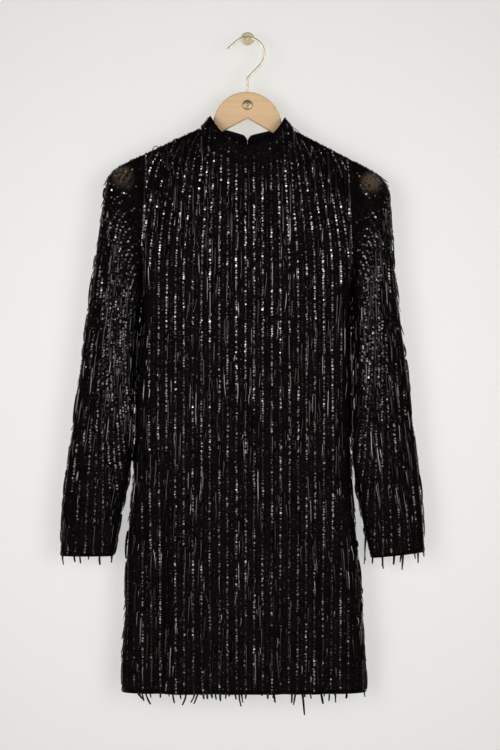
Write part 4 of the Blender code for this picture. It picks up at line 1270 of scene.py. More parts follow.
@dataclass
class SequinRows:
    """Upright rows of sequins sewn down a sheet: bright rows, with fainter ones between.

    Attributes:
        side_margin: how far the rows keep from the sheet's side edges.
        loose_above: the height above which sequins stray from their rows.
        tone_scale: how light the sequins are beside those on the front.
        swing_scale: how far whole runs turn sideways, beside those on the front.
        top_fade: the length at the top of a row along which it grows lighter.
        side_places: distances from the middle between which the swing changes.
        side_shares: the swing's share at each of them.
        spacing_stray: how far each sequin strays along its row, in spacings.
        column_stray: how far it strays sideways, in columns of the sheet.
        loose_stray: how much further the loose ones stray sideways.
        wave_lean: how far the rows lean up and down in waves.
        lean_stray: how far a sequin leans up or down, beside its size's tilt.
        run_firmness: above 1 for runs that turn as one, with short changes between.
        quick_share: how much shorter waves add to the runs' swing.
        top_tone: the tone's share at the very top of a row.
    """

    name: str
    grid: SurfaceGrid
    seed: int
    pitch: float = 0.00695
    side_margin: float = 0.0024
    end_margin: float = 0.0012
    loose_above: float = 1.0
    bright: SequinSize = ROUND_SEQUIN
    faint: SequinSize = SMALL_SEQUIN
    tone_scale: float = 1.0
    swing_scale: float = 1.0
    top_fade: float = 0.022
    side_places: tuple[float, float] = (0.085, 0.150)
    side_shares: tuple[float, float] = (1.0, 0.35)
    pitch_stray: float = 0.0003
    spacing_stray: float = 0.18
    column_stray: float = 0.10
    loose_stray: float = 0.8
    loose_share: float = 0.7
    lift_stray: float = 0.0003
    radius_spread: tuple[float, float] = (0.86, 1.12)
    wave_lean: float = 0.05
    lean_stray: float = 1.2
    run_firmness: float = 1.9
    quick_share: float = 0.45
    loose_turn: float = 1.5
    wave_tone: float = 0.3
    tone_stray: float = 0.38
    top_tone: float = 0.3

    def build(self) -> bpy.types.Mesh:
        """Lays the rows and makes their mesh."""
        rng = np.random.default_rng(self.seed)
        reach = np.abs(self.grid.across).max()
        laid: list[dict[str, np.ndarray]] = []
        for number in range(-int(reach / self.pitch) - 1, int(reach / self.pitch) + 2):
            size = self.bright if number % 2 else self.faint
            offset = (number + 0.5) * self.pitch + rng.normal(0, self.pitch_stray)
            row = self._place_row(offset, size, rng)
            if row:
                laid.append(self._sew_row(row, size, rng))
        joined = {key: np.concatenate([row[key] for row in laid]) for key in laid[0]}
        return cupped_sequins(self.name, joined)

    def _place_row(
        self, offset: float, size: SequinSize, rng: np.random.Generator
    ) -> LaidRow | None:
        """The places along one row, or None where there is no room for it."""
        rows, columns = self.grid.upright(offset, self.side_margin)
        if len(rows) < FEWEST_ROWS:
            return None
        line, _ = self.grid.sample(rows, columns)
        run = running_length(line)
        if run[-1] < 2 * self.end_margin + size.spacing:
            return None
        count = int((run[-1] - 2 * self.end_margin) / size.spacing)
        at = self.end_margin + size.spacing * (np.arange(count) + rng.random())
        at = at + rng.normal(0, self.spacing_stray * size.spacing, count)
        at = np.clip(at, 0, run[-1] - self.end_margin)
        loose = np.interp(at, run, line[:, 2]) > self.loose_above
        kept = ~loose | (rng.random(count) < self.loose_share)
        at = at[kept]
        loose = loose[kept]
        at_row = np.interp(at, run, rows)
        at_column = np.interp(at_row, rows, columns)
        at_column = at_column + rng.normal(0, self.column_stray, len(at))
        at_column = at_column + loose * rng.normal(0, self.loose_stray, len(at))
        if len(at) == 0:
            return None
        centre, normal = self.grid.sample(at_row, at_column)
        ahead, _ = self.grid.sample(at_row + 0.5, at_column)
        down = unit(ahead - centre + np.array([0, 0, -1e-6]))
        return LaidRow(at, centre, normal, down, loose)

    def _sew_row(
        self, row: LaidRow, size: SequinSize, rng: np.random.Generator
    ) -> dict[str, np.ndarray]:
        """The sequins of one row, each with its own turn, size and tone."""
        count = len(row.at)
        wave = ripple(row.at, SHADE_WAVES, rng)
        normal = self._turned(row, size, wave, rng)
        # Painted light: the tone falls with height, standing in for the light falling off down the
        # dress.
        shade = np.interp(row.centre[:, 2], SWING_HEIGHTS, PAINTED_LIGHT_TONE_SHARES)
        below = (row.at - 0.3 * self.top_fade) / self.top_fade
        shade = shade * (self.top_tone + (1 - self.top_tone) * eased(below))
        tone = size.tone * (1 + self.wave_tone * wave + rng.normal(0, self.tone_stray, count))
        lift = size.lift + self.lift_stray * rng.random((count, 1))
        return {
            "centre": row.centre + row.normal * lift,
            "normal": normal,
            "down": row.down,
            "radius": size.radius * rng.uniform(*self.radius_spread, count),
            "tone": np.clip(tone * self.tone_scale * shade, 0, 1),
        }

    def _turned(
        self, row: LaidRow, size: SequinSize, wave: np.ndarray, rng: np.random.Generator
    ) -> np.ndarray:
        """The sequins' outward directions: whole runs swing together, and each strays a little."""
        slow = ripple(row.at, SLOW_WAVES, rng)
        quick = ripple(row.at, QUICK_WAVES, rng)
        height_share = np.interp(row.centre[:, 2], SWING_HEIGHTS, SWING_SHARES)
        side_share = np.interp(np.abs(row.centre[:, 0]), self.side_places, self.side_shares)
        swing = size.swing * height_share * self.swing_scale * side_share
        count = len(row.at)
        lean = self.wave_lean * wave + rng.normal(0, self.lean_stray * size.tilt, count)
        turn = swing * (np.clip(self.run_firmness * slow, -1, 1) + self.quick_share * quick)
        turn = turn + rng.normal(0, size.tilt, count) * (1 + self.loose_turn * row.loose)
        sideways, up = frames(row.normal, row.down)
        return row.normal * PLUMB + up * lean[:, None] + sideways * turn[:, None]


def tube_faces(stations: int) -> np.ndarray:
    """The faces of a closed four-sided strip with its two ends."""
    faces = []
    for station in range(stations - 1):
        low = station * SQUARE
        high = low + SQUARE
        for corner in range(SQUARE):
            following = (corner + 1) % SQUARE
            faces.append([low + corner, high + corner, high + following, low + following])
    last = (stations - 1) * SQUARE
    faces.append([0, 1, 2, 3])
    faces.append([last + 3, last + 2, last + 1, last])
    return np.array(faces)


def flat_sizes(half: np.ndarray, taper: np.ndarray, thickness_share: float) -> np.ndarray:
    """Half widths and half thicknesses of strands along their length."""
    wide = half * taper
    return np.stack([wide, wide * thickness_share], axis=-1)


def twisted_strands(
    name: str, paths: np.ndarray, sizes: np.ndarray, twist: np.ndarray, tone: np.ndarray
) -> bpy.types.Mesh:
    """Flat strands with four sides, each turning slowly along its path.

    Args:
        name: the mesh's name.
        paths: strands by points by 3.
        sizes: strands by points by 2: the half width and half thickness at each point.
        twist: strands by points: the section's turn at each point.
        tone: how light each strand is.

    Returns:
        All the strands in one mesh.
    """
    count, stations = paths.shape[:2]
    ahead = unit(np.gradient(paths, axis=1))
    sideways = unit(np.cross(ahead, np.broadcast_to(TOWARDS_FRONT, ahead.shape)))
    outwards = np.cross(sideways, ahead)
    points = np.empty((count, stations, SQUARE, 3))
    for corner in range(SQUARE):
        half = sizes[..., corner % 2][..., None]
        angle = (twist + np.pi / 2 * corner)[..., None]
        points[:, :, corner] = paths + half * (sideways * np.cos(angle) + outwards * np.sin(angle))
    offsets = np.arange(count)[:, None, None] * stations * SQUARE
    every = (tube_faces(stations)[None] + offsets).reshape(-1, SQUARE)
    mesh = mesh_of(name, off_the_wall(points).reshape(-1, 3), every)
    outward_faces(mesh)
    mark(mesh, "tone", np.repeat(tone, stations * SQUARE))
    return mesh


def outward_faces(mesh: bpy.types.Mesh) -> None:
    """Turns every face of a mesh of closed pieces outwards."""
    centre = np.empty(len(mesh.polygons) * 3)
    mesh.polygons.foreach_get("center", centre)
    normal = np.empty(len(mesh.polygons) * 3)
    mesh.polygons.foreach_get("normal", normal)
    size = np.empty(len(mesh.polygons))
    mesh.polygons.foreach_get("area", size)
    centre = centre.reshape(-1, 3)
    centre = centre - centre.mean(axis=0)
    volume = float((np.sum(centre * normal.reshape(-1, 3), axis=1) * size).sum())
    if volume < 0:
        mesh.flip_normals()


@dataclass
class LooseStrands:
    """Loose strands of beads that hang over a sheet from between its rows.

    Attributes:
        short_bias: above 1 for more short strands than long ones.
        stand_off: how far a strand stands off the sheet.
        start_row: the sheet's row above which no strand starts.
        side_share: the share of the sheet's width that has strands.
        end_margin: how far they keep from the lower edge.
        least_gap: the smallest distance between columns that is reckoned with.
        thickness_share: a strand's thickness as a share of its width.
        sway: how far a strand's end strays sideways, as a share of its length.
        bend: how far it bends to the left and right on its way.
        lift_spread: the least and greatest stand-off, beside the usual one.
        tone_shape: the two powers of the spread of tones, more dark ones than light.
    """

    name: str
    grid: SurfaceGrid
    seed: int
    count: int
    start_row: float
    shortest: float = 0.010
    longest: float = 0.055
    short_bias: float = 1.8
    stand_off: float = 0.0016
    half_width: float = 0.0016
    segments: int = 8
    side_share: float = 0.985
    end_margin: float = 0.001
    least_gap: float = 0.0008
    thickness_share: float = 0.3
    sway: float = 0.02
    bend: float = 0.0005
    lift_spread: tuple[float, float] = (0.6, 1.7)
    tone_shape: tuple[float, float] = (1.3, 2.0)

    def _trace(
        self, share: np.ndarray, rng: np.random.Generator
    ) -> tuple[np.ndarray, np.ndarray]:
        """The row and column numbers of one strand's points, where it has room to hang."""
        grid = self.grid
        numbers = np.arange(grid.rows)
        length = self.shortest + (self.longest - self.shortest) * rng.random() ** self.short_bias
        while True:
            row = rng.uniform(self.start_row, grid.rows - 1)
            run = grid.across[int(row)]
            place = rng.uniform(run[0] * self.side_share, run[-1] * self.side_share)
            column = np.interp(place, run, np.arange(grid.columns))
            fall = grid.down[:, int(column)]
            from_top = np.interp(row, numbers, fall)
            if from_top + length < fall[-1] - self.end_margin:
                break
        gap = np.gradient(run)[int(column)]
        sway = rng.normal(0, self.sway) * length * share
        sway = sway + rng.normal(0, self.bend) * np.sin(share * rng.uniform(3, 7))
        rows = np.interp(from_top + length * share, fall, numbers)
        return rows, column + sway / max(gap, self.least_gap)

    def build(self) -> bpy.types.Mesh:
        """Lays the strands and makes their mesh."""
        rng = np.random.default_rng(self.seed)
        share = np.linspace(0, 1, self.segments + 1)
        traces = np.array([self._trace(share, rng) for _ in range(self.count)])
        columns = np.clip(traces[:, 1], 0.3, self.grid.columns - 1.3)
        paths, normals = self.grid.sample(traces[:, 0], columns)
        swell = np.sin(np.pi * share) ** 0.7
        lift = self.stand_off * rng.uniform(*self.lift_spread, (self.count, 1))
        lift = lift * (0.55 + 0.6 * swell)
        paths = paths + normals * lift[..., None]
        half = self.half_width * rng.uniform(*WIDTH_SPREAD, (self.count, 1))
        taper = np.clip(1.25 - share**3 * 0.5, 0, 1)
        sizes = flat_sizes(half, taper, self.thickness_share)
        turns = rng.normal(0, 0.7, (self.count, 1)) * share + rng.normal(0, 0.6, (self.count, 1))
        tone = rng.beta(*self.tone_shape, self.count)
        return twisted_strands(self.name, paths, sizes, turns, tone)


@dataclass
class EdgeTufts:
    """Ends of strands that stand out along a sheet's side edges.

    Attributes:
        top_row: the sheet's row above which there are none.
        reach: how far they stand out at most.
        root_depth: how far inside the edge they start.
        swerve: how far their ends stray to the front or back.
        thickness_share: their thickness as a share of their width.
    """

    name: str
    grid: SurfaceGrid
    seed: int
    top_row: int
    count: int = 90
    shortest: float = 0.007
    longest: float = 0.024
    reach: float = 0.0042
    root_depth: float = 0.0006
    swerve: float = 0.0015
    half_width: float = 0.0009
    thickness_share: float = 0.5
    segments: int = 5
    tone: float = 0.3
    tone_stray: float = 0.2
    rows_ahead: int = 5

    def _trace(self, share: np.ndarray, rng: np.random.Generator) -> np.ndarray:
        """The points of one tuft, out from the left or right edge and down along it."""
        row = int(rng.uniform(self.top_row, self.grid.rows - self.rows_ahead - 1))
        line = self.grid.points[row]
        side = 1.0 if rng.random() < 0.5 else -1.0
        start = line[np.argmax(side * line[:, 0])]
        below = self.grid.points[row + self.rows_ahead]
        fall = unit(below[np.argmax(side * below[:, 0])] - start)
        length = rng.uniform(self.shortest, self.longest)
        out = side * self.reach * rng.uniform(0.2, 1.0) * share**0.8
        path = start + fall * (length * share)[:, None]
        path[:, 0] += out - side * self.root_depth
        path[:, 1] += rng.normal(0, self.swerve) * share
        return path

    def build(self) -> bpy.types.Mesh:
        """Lays the tufts and makes their mesh."""
        rng = np.random.default_rng(self.seed)
        share = np.linspace(0, 1, self.segments + 1)
        paths = np.array([self._trace(share, rng) for _ in range(self.count)])
        half = self.half_width * rng.uniform(*WIDTH_SPREAD, (self.count, 1))
        taper = 1 - 0.4 * share**2
        sizes = flat_sizes(half, taper, self.thickness_share)
        turns = rng.uniform(0, FULL_TURN, (self.count, 1)) + 0.6 * share
        tone = np.clip(rng.normal(self.tone, self.tone_stray, self.count), 0, 1)
        return twisted_strands(self.name, paths, sizes, turns, tone)


class Loop(NamedTuple):
    """A strand that stands off the outline: its two ends and the bend between, as (x, z)."""

    start: tuple[float, float]
    bend: tuple[float, float]
    end: tuple[float, float]
    half_width: float


SHOULDER_LOOPS = rows_of(
    Loop,
    ((-0.1528, -0.1850), (-0.1490, -0.1640), (-0.1385, -0.1795), 0.0006),
    ((-0.1208, -0.1685), (-0.1172, -0.1578), (-0.1070, -0.1625), 0.0007),
    ((0.0680, -0.1405), (0.0800, -0.1440), (0.0862, -0.1570), 0.0005),
    ((0.0880, -0.1580), (0.0905, -0.1555), (0.0930, -0.1605), 0.0006),
)
HEAD_LOOPS = rows_of(
    Loop,
    ((-0.2050, -0.2290), (-0.2010, -0.2190), (-0.1950, -0.2105), 0.0009),
    ((-0.1985, -0.2310), (-0.1935, -0.2215), (-0.1870, -0.2130), 0.0010),
    ((-0.1905, -0.2340), (-0.1865, -0.2265), (-0.1810, -0.2190), 0.0009),
    ((-0.2120, -0.2360), (-0.2090, -0.2290), (-0.2040, -0.2220), 0.0007),
)
CUFF_LOOPS = rows_of(
    Loop,
    ((0.1890, -0.7800), (0.1855, -0.8060), (0.1880, -0.8340), 0.0009),
    ((0.1900, -0.7860), (0.1880, -0.8100), (0.1862, -0.8395), 0.0008),
)
LOOP_CLEARANCE = 0.0010
LOOP_STATIONS = 12
LOOP_TONE = 0.2


def loops(name: str, grid: SurfaceGrid, table: tuple[Loop, ...]) -> bpy.types.Mesh:
    """Strands that leave a sheet's outline in an arc and come back to it or hang free.

    Args:
        name: the mesh's name.
        grid: the sheet that they're caught on.
        table: their ends and bends.

    Returns:
        All of them in one mesh.
    """
    share = np.linspace(0, 1, LOOP_STATIONS)[:, None]
    sheet = grid.points.reshape(-1, 3)
    sheet = sheet[sheet[:, 1] < 0]
    paths = []
    for loop in table:
        ends = []
        for x, z in (loop.start, loop.end):
            nearest = sheet[np.argmin(np.hypot(sheet[:, 0] - x, sheet[:, 2] - z))]
            ends.append(np.array([x, nearest[1] - LOOP_CLEARANCE, z]))
        bend = np.array([loop.bend[0], 0.5 * (ends[0][1] + ends[1][1]), loop.bend[1]])
        path = (1 - share) ** 2 * ends[0] + 2 * share * (1 - share) * bend
        paths.append(path + share**2 * ends[1])
    half = np.array([loop.half_width for loop in table])[:, None, None]
    sizes = np.broadcast_to(half, (len(table), len(share), 2))
    turns = np.zeros((len(table), len(share)))
    tone = np.full(len(table), LOOP_TONE)
    return twisted_strands(name, np.array(paths), sizes, turns, tone)


@dataclass
class EdgeFringe:
    """A narrow tape sewn along an edge, with strands hanging from it.

    Attributes:
        margin: how far the tape and the strands keep from the edge's two ends.
        above_edge: how far above the edge the tape starts.
        gap: how far it lies off the sheet.
        forward: how far its end hangs off the sheet.
        thickness_share: a strand's thickness as a share of its width.
    """

    name: str
    grid: SurfaceGrid
    hangs: tuple[Hang, ...]
    seed: int
    margin: float = 0.004
    above_edge: float = 0.0015
    height: float = 0.004
    gap: float = 0.0003
    thickness: float = 0.0008
    stations: int = 90
    half_width: float = 0.0018
    thickness_share: float = 0.9
    segments: int = 8
    lean_scale: float = 2.0
    width_spread: tuple[float, float] = (0.85, 1.1)
    bow: float = 0.0006
    forward: float = 0.0008
    tape_tone: float = 0.05
    tone: float = 0.18
    tone_stray: float = 0.12

    def _at(self, distance: np.ndarray, above: float) -> tuple[np.ndarray, np.ndarray]:
        """Points and normals on the sheet at distances along the edge and above it."""
        run = self.grid.across[-1]
        numbers = np.arange(self.grid.columns)
        columns = np.interp(distance, run, numbers)
        fall = self.grid.down[:, self.grid.centre]
        row = np.interp(fall[-1] - above, fall, np.arange(self.grid.rows))
        return self.grid.sample(np.full_like(columns, row), columns)

    def build_tape(self) -> bpy.types.Mesh:
        """The tape, a thin closed strip."""
        run = self.grid.across[-1]
        distance = np.linspace(run[0] + self.margin, run[-1] - self.margin, self.stations)
        corners = []
        for out, above in ((0, 0), (1, 0), (1, 1), (0, 1)):
            points, normals = self._at(distance, self.above_edge + self.height * above)
            corners.append(points + normals * (self.gap + self.thickness * out))
        points = np.stack(corners, axis=1).reshape(-1, 3)
        mesh = mesh_of(self.name + "_tape", points, tube_faces(self.stations))
        outward_faces(mesh)
        mark(mesh, "tone", np.full(len(mesh.vertices), self.tape_tone))
        return mesh

    def build_hangs(self) -> bpy.types.Mesh:
        """The strands, from inside the tape down past the edge."""
        rng = np.random.default_rng(self.seed)
        run = self.grid.across[-1]
        count = len(self.hangs)
        share = np.linspace(0, 1, self.segments + 1)
        places = np.array([hang.place for hang in self.hangs])
        distance = run[0] + self.margin + (run[-1] - run[0] - 2 * self.margin) * places
        middle = self.above_edge + 0.5 * self.height
        root, normal = self._at(distance, middle)
        beside, _ = self._at(distance + 0.001, middle)
        along = unit(beside - root)
        root = root + normal * (self.gap + 0.5 * self.thickness)
        length = np.array([hang.length for hang in self.hangs]) + self.above_edge
        length = length + 0.5 * self.height
        lean = np.array([self.lean_scale * hang.lean for hang in self.hangs])
        paths = np.repeat(root[:, None, :], len(share), axis=1)
        paths[..., 2] -= length[:, None] * share
        sway = lean[:, None] * share**1.6
        sway = sway + rng.normal(0, self.bow, (count, 1)) * np.sin(share * 4)
        paths = paths + along[:, None, :] * sway[..., None]
        paths = paths + normal[:, None, :] * (self.forward * share)[None, :, None]
        half = self.half_width * rng.uniform(*self.width_spread, (count, 1))
        taper = 1 - 0.3 * share**3
        sizes = flat_sizes(half, taper, self.thickness_share)
        turns = rng.normal(0, 1.2, (count, 1)) * share
        turns = turns + rng.uniform(0, FULL_TURN, (count, 1))
        tone = np.clip(rng.normal(self.tone, self.tone_stray, count), 0, 1)
        return twisted_strands(self.name + "_strands", paths, sizes, turns, tone)


@dataclass
class Stitching:
    """Short stitches of thread along lines on the sheets.

    Attributes:
        stitch: the length of a stitch that shows.
        pitch: from the start of one stitch to that of the next.
        bow: how far each point of a stitch stands off the sheet.
    """

    name: str
    stitch: float = 0.0024
    pitch: float = 0.0034
    half_width: float = 0.00024
    bow: tuple[float, ...] = (-0.0001, 0.00035, 0.00035, -0.0001)
    tone: float = 0.3
    paths: list[np.ndarray] = field(default_factory=list)

    def along_edge(self, grid: SurfaceGrid, above: float, margin: float = 0.004) -> None:
        """Adds a line of stitches at a height above a sheet's lower edge."""
        run = grid.across[-1]
        fall = grid.down[:, grid.centre]
        row = float(np.interp(fall[-1] - above, fall, np.arange(grid.rows)))
        start = np.arange(run[0] + margin, run[-1] - margin, self.pitch)
        distance = start[:, None] + self.stitch * np.linspace(0, 1, len(self.bow))
        columns = np.interp(distance, run, np.arange(grid.columns))
        self._add(grid, np.full_like(columns, row), columns)

    def down_column(self, grid: SurfaceGrid, inset: float, first: int, last: int) -> None:
        """Adds a line of stitches down a sheet, at a distance from its edge.

        Args:
            grid: the sheet.
            inset: the distance, from the first column if above 0, else from the last.
            first: the line's first row.
            last: the line's last row.
        """
        numbers = np.arange(grid.columns)
        rows = np.arange(first, last + 1, dtype=float)
        columns = []
        for row in rows.astype(int):
            run = grid.across[row]
            place = run[0] + inset if inset > 0 else run[-1] + inset
            columns.append(np.interp(place, run, numbers))
        line, _ = grid.sample(rows, np.array(columns))
        run = running_length(line)
        start = np.arange(0.001, run[-1] - self.stitch, self.pitch)
        distance = start[:, None] + self.stitch * np.linspace(0, 1, len(self.bow))
        at_row = np.interp(distance, run, rows)
        self._add(grid, at_row, np.interp(at_row, rows, columns))

    def across_row(self, grid: SurfaceGrid, row: float, margin: float = 0.002) -> None:
        """Adds a line of stitches along one row of a sheet."""
        run = grid.across[int(row)]
        start = np.arange(run[0] + margin, run[-1] - margin - self.stitch, self.pitch)
        distance = start[:, None] + self.stitch * np.linspace(0, 1, len(self.bow))
        columns = np.interp(distance, run, np.arange(grid.columns))
        self._add(grid, np.full_like(columns, row), columns)

    def _add(self, grid: SurfaceGrid, rows: np.ndarray, columns: np.ndarray) -> None:
        """Adds stitches that bow out of the sheet between their two ends."""
        points, normals = grid.sample(rows, columns)
        self.paths.append(points + normals * np.array(self.bow)[None, :, None])

    def build(self) -> bpy.types.Mesh:
        """All the stitches in one mesh."""
        paths = np.concatenate(self.paths)
        sizes = np.full((*paths.shape[:2], 2), self.half_width)
        turns = np.zeros(paths.shape[:2])
        tone = np.full(len(paths), self.tone)
        return twisted_strands(self.name, paths, sizes, turns, tone)


# Cloth shells


@dataclass
class ClothShell:
    """A thin wall of cloth on a grid: outside, lining inside, both closed at the edges."""

    name: str
    grid: SurfaceGrid
    keep: Callable[[np.ndarray], np.ndarray]
    sheer: np.ndarray | None = None
    wall: float = 0.0012

    def build(self) -> bpy.types.Mesh:
        """The outside as a mesh; thicken() then adds the inside."""
        grid = self.grid
        points = grid.points
        if grid.closed:
            points = points[:, :-1]
        wide = points.shape[1]
        number = np.arange(grid.rows * wide).reshape(grid.rows, wide)
        right = np.roll(number, -1, axis=1) if grid.closed else number[:, 1:]
        left = number if grid.closed else number[:, :-1]
        faces = np.stack([left[:-1], left[1:], right[1:], right[:-1]], axis=-1)
        faces = faces.reshape(-1, 4)
        if not grid.flipped:
            faces = faces[:, ::-1]
        mesh = mesh_of(self.name, points.reshape(-1, 3), faces)
        mesh.shade_smooth()
        if self.sheer is not None:
            sheer = self.sheer[:, :-1] if grid.closed else self.sheer
            mark(mesh, "sheer", sheer.ravel())
        return mesh

    def thicken(self, piece: bpy.types.Object) -> None:
        """Adds the inside and holds every point on its own side of the seams."""
        wall = piece.modifiers.new("wall", "SOLIDIFY")
        wall.thickness = self.wall
        wall.offset = -1
        wall.material_offset = 1
        apply_modifiers(piece)
        mesh = piece.data
        points = np.empty(len(mesh.vertices) * 3)
        mesh.vertices.foreach_get("co", points)
        kept = self.keep(points.reshape(-1, 3))
        mesh.vertices.foreach_set("co", kept.ravel())
        mesh.update()


# The sub-assemblies


@dataclass
class Palette:
    """All the finishes, made once."""

    net: bpy.types.Material = field(init=False)
    sheer_net: bpy.types.Material = field(init=False)
    lining: bpy.types.Material = field(init=False)
    sequin: bpy.types.Material = field(init=False)
    strand: bpy.types.Material = field(init=False)
    thread: bpy.types.Material = field(init=False)
    beech: bpy.types.Material = field(init=False)
    brass: bpy.types.Material = field(init=False)
    peg_brass: bpy.types.Material = field(init=False)
    wire: bpy.types.Material = field(init=False)
    button: bpy.types.Material = field(init=False)

    def __post_init__(self) -> None:
        """Makes the materials."""
        self.net = NetFinish("black_net").make()
        self.sheer_net = NetFinish("sheer_black_net", sheer=True).make()
        self.lining = LiningFinish().make()
        self.sequin = SequinFinish("black_mirror_sequin").make()
        self.strand = SequinFinish(
            "black_bead_strand", usual=(0.054, 0.047, 0.048), smoothest=0.24, roughest=0.42
        ).make()
        self.thread = ThreadFinish().make()
        self.beech = BeechFinish().make()
        self.brass = BrassFinish(
            "dull_brass", bright=(0.50, 0.46, 0.27), tarnished=(0.33, 0.29, 0.16), smoothest=0.28
        ).make()
        self.peg_brass = BrassFinish(
            "pale_brass",
            bright=(0.72, 0.67, 0.46),
            tarnished=(0.56, 0.51, 0.31),
            smoothest=0.44,
            bareness=0.45,
        ).make()
        self.wire = BrassFinish(
            "champagne_wire",
            bright=(0.84, 0.77, 0.65),
            tarnished=(0.68, 0.60, 0.48),
            smoothest=0.38,
        ).make()
        self.button = ButtonFinish().make()


@dataclass(frozen=True)
class Cut:
    """A sheet's flat cut: width and length of its rectangle, and the area inside it."""

    width: float
    length: float
    area: float


@dataclass(kw_only=True)
class HungSheet:
    """What all the hung sheets share: cloth with trim sewn on it, and the sizes of its flat cut.

    Attributes:
        name: the first part of its pieces' names.
        node: the solid that the cloth stands for.
    """

    name: str
    node: str
    cut: Cut
    seed: int
    palette: Palette
    grid: SurfaceGrid = field(init=False)
    cloth: bpy.types.Object = field(init=False)
    trim: list[bpy.types.Object] = field(default_factory=list)

    def lay_cloth(
        self,
        finishes: list[bpy.types.Material],
        slot: str,
        keep: Callable[[np.ndarray], np.ndarray],
        sheer: np.ndarray | None = None,
    ) -> None:
        """Makes the cloth in place of its solid.

        Args:
            finishes: the materials of its outside and its inside.
            slot: not used.
            keep: holds points on the sheet's own side of the seams.
            sheer: how see-through the cloth is at each point of its grid.
        """
        shell = ClothShell(self.name + "_cloth", self.grid, keep=keep, sheer=sheer)
        self.cloth = add_piece(shell.name, shell.build(), finishes)
        shell.thicken(self.cloth)
        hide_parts(self.node)
        LOG.info("%s area %.4f m2", self.name, self.grid.area())

    def sew_on(
        self,
        laid: SequinRows | LooseStrands | EdgeTufts,
        finish: bpy.types.Material,
        slot: str,
    ) -> None:
        """Adds one kind of trim."""
        self.trim.append(add_piece(laid.name, laid.build(), [finish]))

    def sew_on_strands(self, count: int, strand_row: float, tuft_row: int) -> None:
        """Adds the loose strands and the tufts at the side edges.

        Args:
            count: how many loose strands there are.
            strand_row: the sheet's row above which no strand starts.
            tuft_row: the row above which there are no tufts.
        """
        name = self.name
        loose = LooseStrands(name + "_strands", self.grid, self.seed + 1, count, strand_row)
        self.sew_on(loose, self.palette.strand, "strand")
        tufts = EdgeTufts(name + "_tufts", self.grid, self.seed + 2, tuft_row)
        self.sew_on(tufts, self.palette.strand, "strand")

    def declare(self, rests_on: list[str], more: list[bpy.types.Object]) -> None:
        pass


@dataclass(kw_only=True)
class BodyPanel(HungSheet):
    """The front or one back: cloth, sequin rows, loose strands and tufts."""

    side: Side
    hand: Hand | None = None
    form: BodyForm
    strands: int
    side_margin: float = 0.0065
    strand_row: float = 6.0
    tuft_row: int = 48

    def keep(self, points: np.ndarray) -> np.ndarray:
        """Holds points on this panel's side of its seams."""
        y = points[:, 1] * self.side.value
        points[:, 1] = np.maximum(y, HALF_SEAM) * self.side.value
        if self.hand:
            x = points[:, 0] * self.hand.value
            points[:, 0] = np.maximum(x, HALF_SEAM) * self.hand.value
        limit = self.form.armhole_x - HALF_SEAM
        upper = points[:, 2] > self.form.armpit_z
        points[upper, 0] = np.clip(points[upper, 0], -limit, limit)
        return points

    def build(self) -> None:
        """Makes the panel's pieces."""
        self.grid = self.form.grid(self.side, self.hand)
        self.lay_cloth([self.palette.net, self.palette.lining], "sequin_net", self.keep)
        name = self.name + "_sequins"
        rows = SequinRows(name, self.grid, self.seed, side_margin=self.side_margin)
        self.sew_on(rows, self.palette.sequin, "sequin_net")
        self.sew_on_strands(self.strands, self.strand_row, self.tuft_row)


@dataclass(kw_only=True)
class Sleeve(HungSheet):
    """One sleeve: sheer cloth, sequin rows, loose strands and tufts at its outer edge.

    Attributes:
        patch: the x and z of the middle of the bare, sheer patch at its head.
        patch_size: that patch's half width and half height.
        patch_edge: above 1 for a firmer edge.
        sheer_head: how see-through the cloth is in the patch.
        sheer_rest: how see-through it is elsewhere.
    """

    hand: Hand
    patch: tuple[float, float]
    strands: int = 400
    strand_row: float = 29.0
    tuft_row: int = 12
    patch_size: tuple[float, float] = (0.027, 0.029)
    patch_edge: float = 1.6
    sheer_head: float = 0.92
    sheer_rest: float = 0.09

    def keep(self, points: np.ndarray) -> np.ndarray:
        """Holds points outside the armhole's plane."""
        x = points[:, 0] * self.hand.value
        points[:, 0] = np.maximum(x, ARMHOLE_X + HALF_SEAM) * self.hand.value
        return points

    def sheerness(self) -> np.ndarray:
        """How see-through the cloth is at each point of its grid."""
        away_x = (self.grid.points[..., 0] - self.patch[0]) / self.patch_size[0]
        away_z = (self.grid.points[..., 2] - self.patch[1]) / self.patch_size[1]
        head = eased(self.patch_edge * (1 - np.hypot(away_x, away_z)))
        return self.sheer_rest + (self.sheer_head - self.sheer_rest) * head

    def build(self) -> None:
        """Makes the sleeve's pieces."""
        self.grid = SleeveForm(self.hand).grid()
        finishes = [self.palette.sheer_net, self.palette.sheer_net]
        self.lay_cloth(finishes, "sequin_net", self.keep, self.sheerness())
        rows = SequinRows(
            self.name + "_sequins",
            self.grid,
            self.seed,
            loose_above=-0.275,
            tone_scale=0.8,
            swing_scale=0.85,
            side_shares=(1.0, 1.0),
        )
        self.sew_on(rows, self.palette.sequin, "sequin_net")
        self.sew_on_strands(self.strands, self.strand_row, self.tuft_row)


@dataclass(kw_only=True)
class Collar(HungSheet):
    """The stand collar with its sequin rows, open at the centre back."""

    form: BodyForm

    def keep(self, points: np.ndarray) -> np.ndarray:
        """Keeps the slit at the centre back open."""
        near = (points[:, 1] > 0) & (np.abs(points[:, 0]) < HALF_SEAM)
        points[near, 0] = np.where(points[near, 0] < 0, -HALF_SEAM, HALF_SEAM)
        return points

    def build(self) -> None:
        """Makes the collar's pieces."""
        self.grid = self.form.collar_grid()
        self.lay_cloth([self.palette.net, self.palette.lining], "collar_net", self.keep)
        rows = SequinRows(
            self.name + "_sequins",
            self.grid,
            self.seed,
            tone_scale=0.6,
            side_places=(0.020, 0.045),
            side_shares=(0.25, 1.0),
        )
        self.sew_on(rows, self.palette.sequin, "sequin_net")


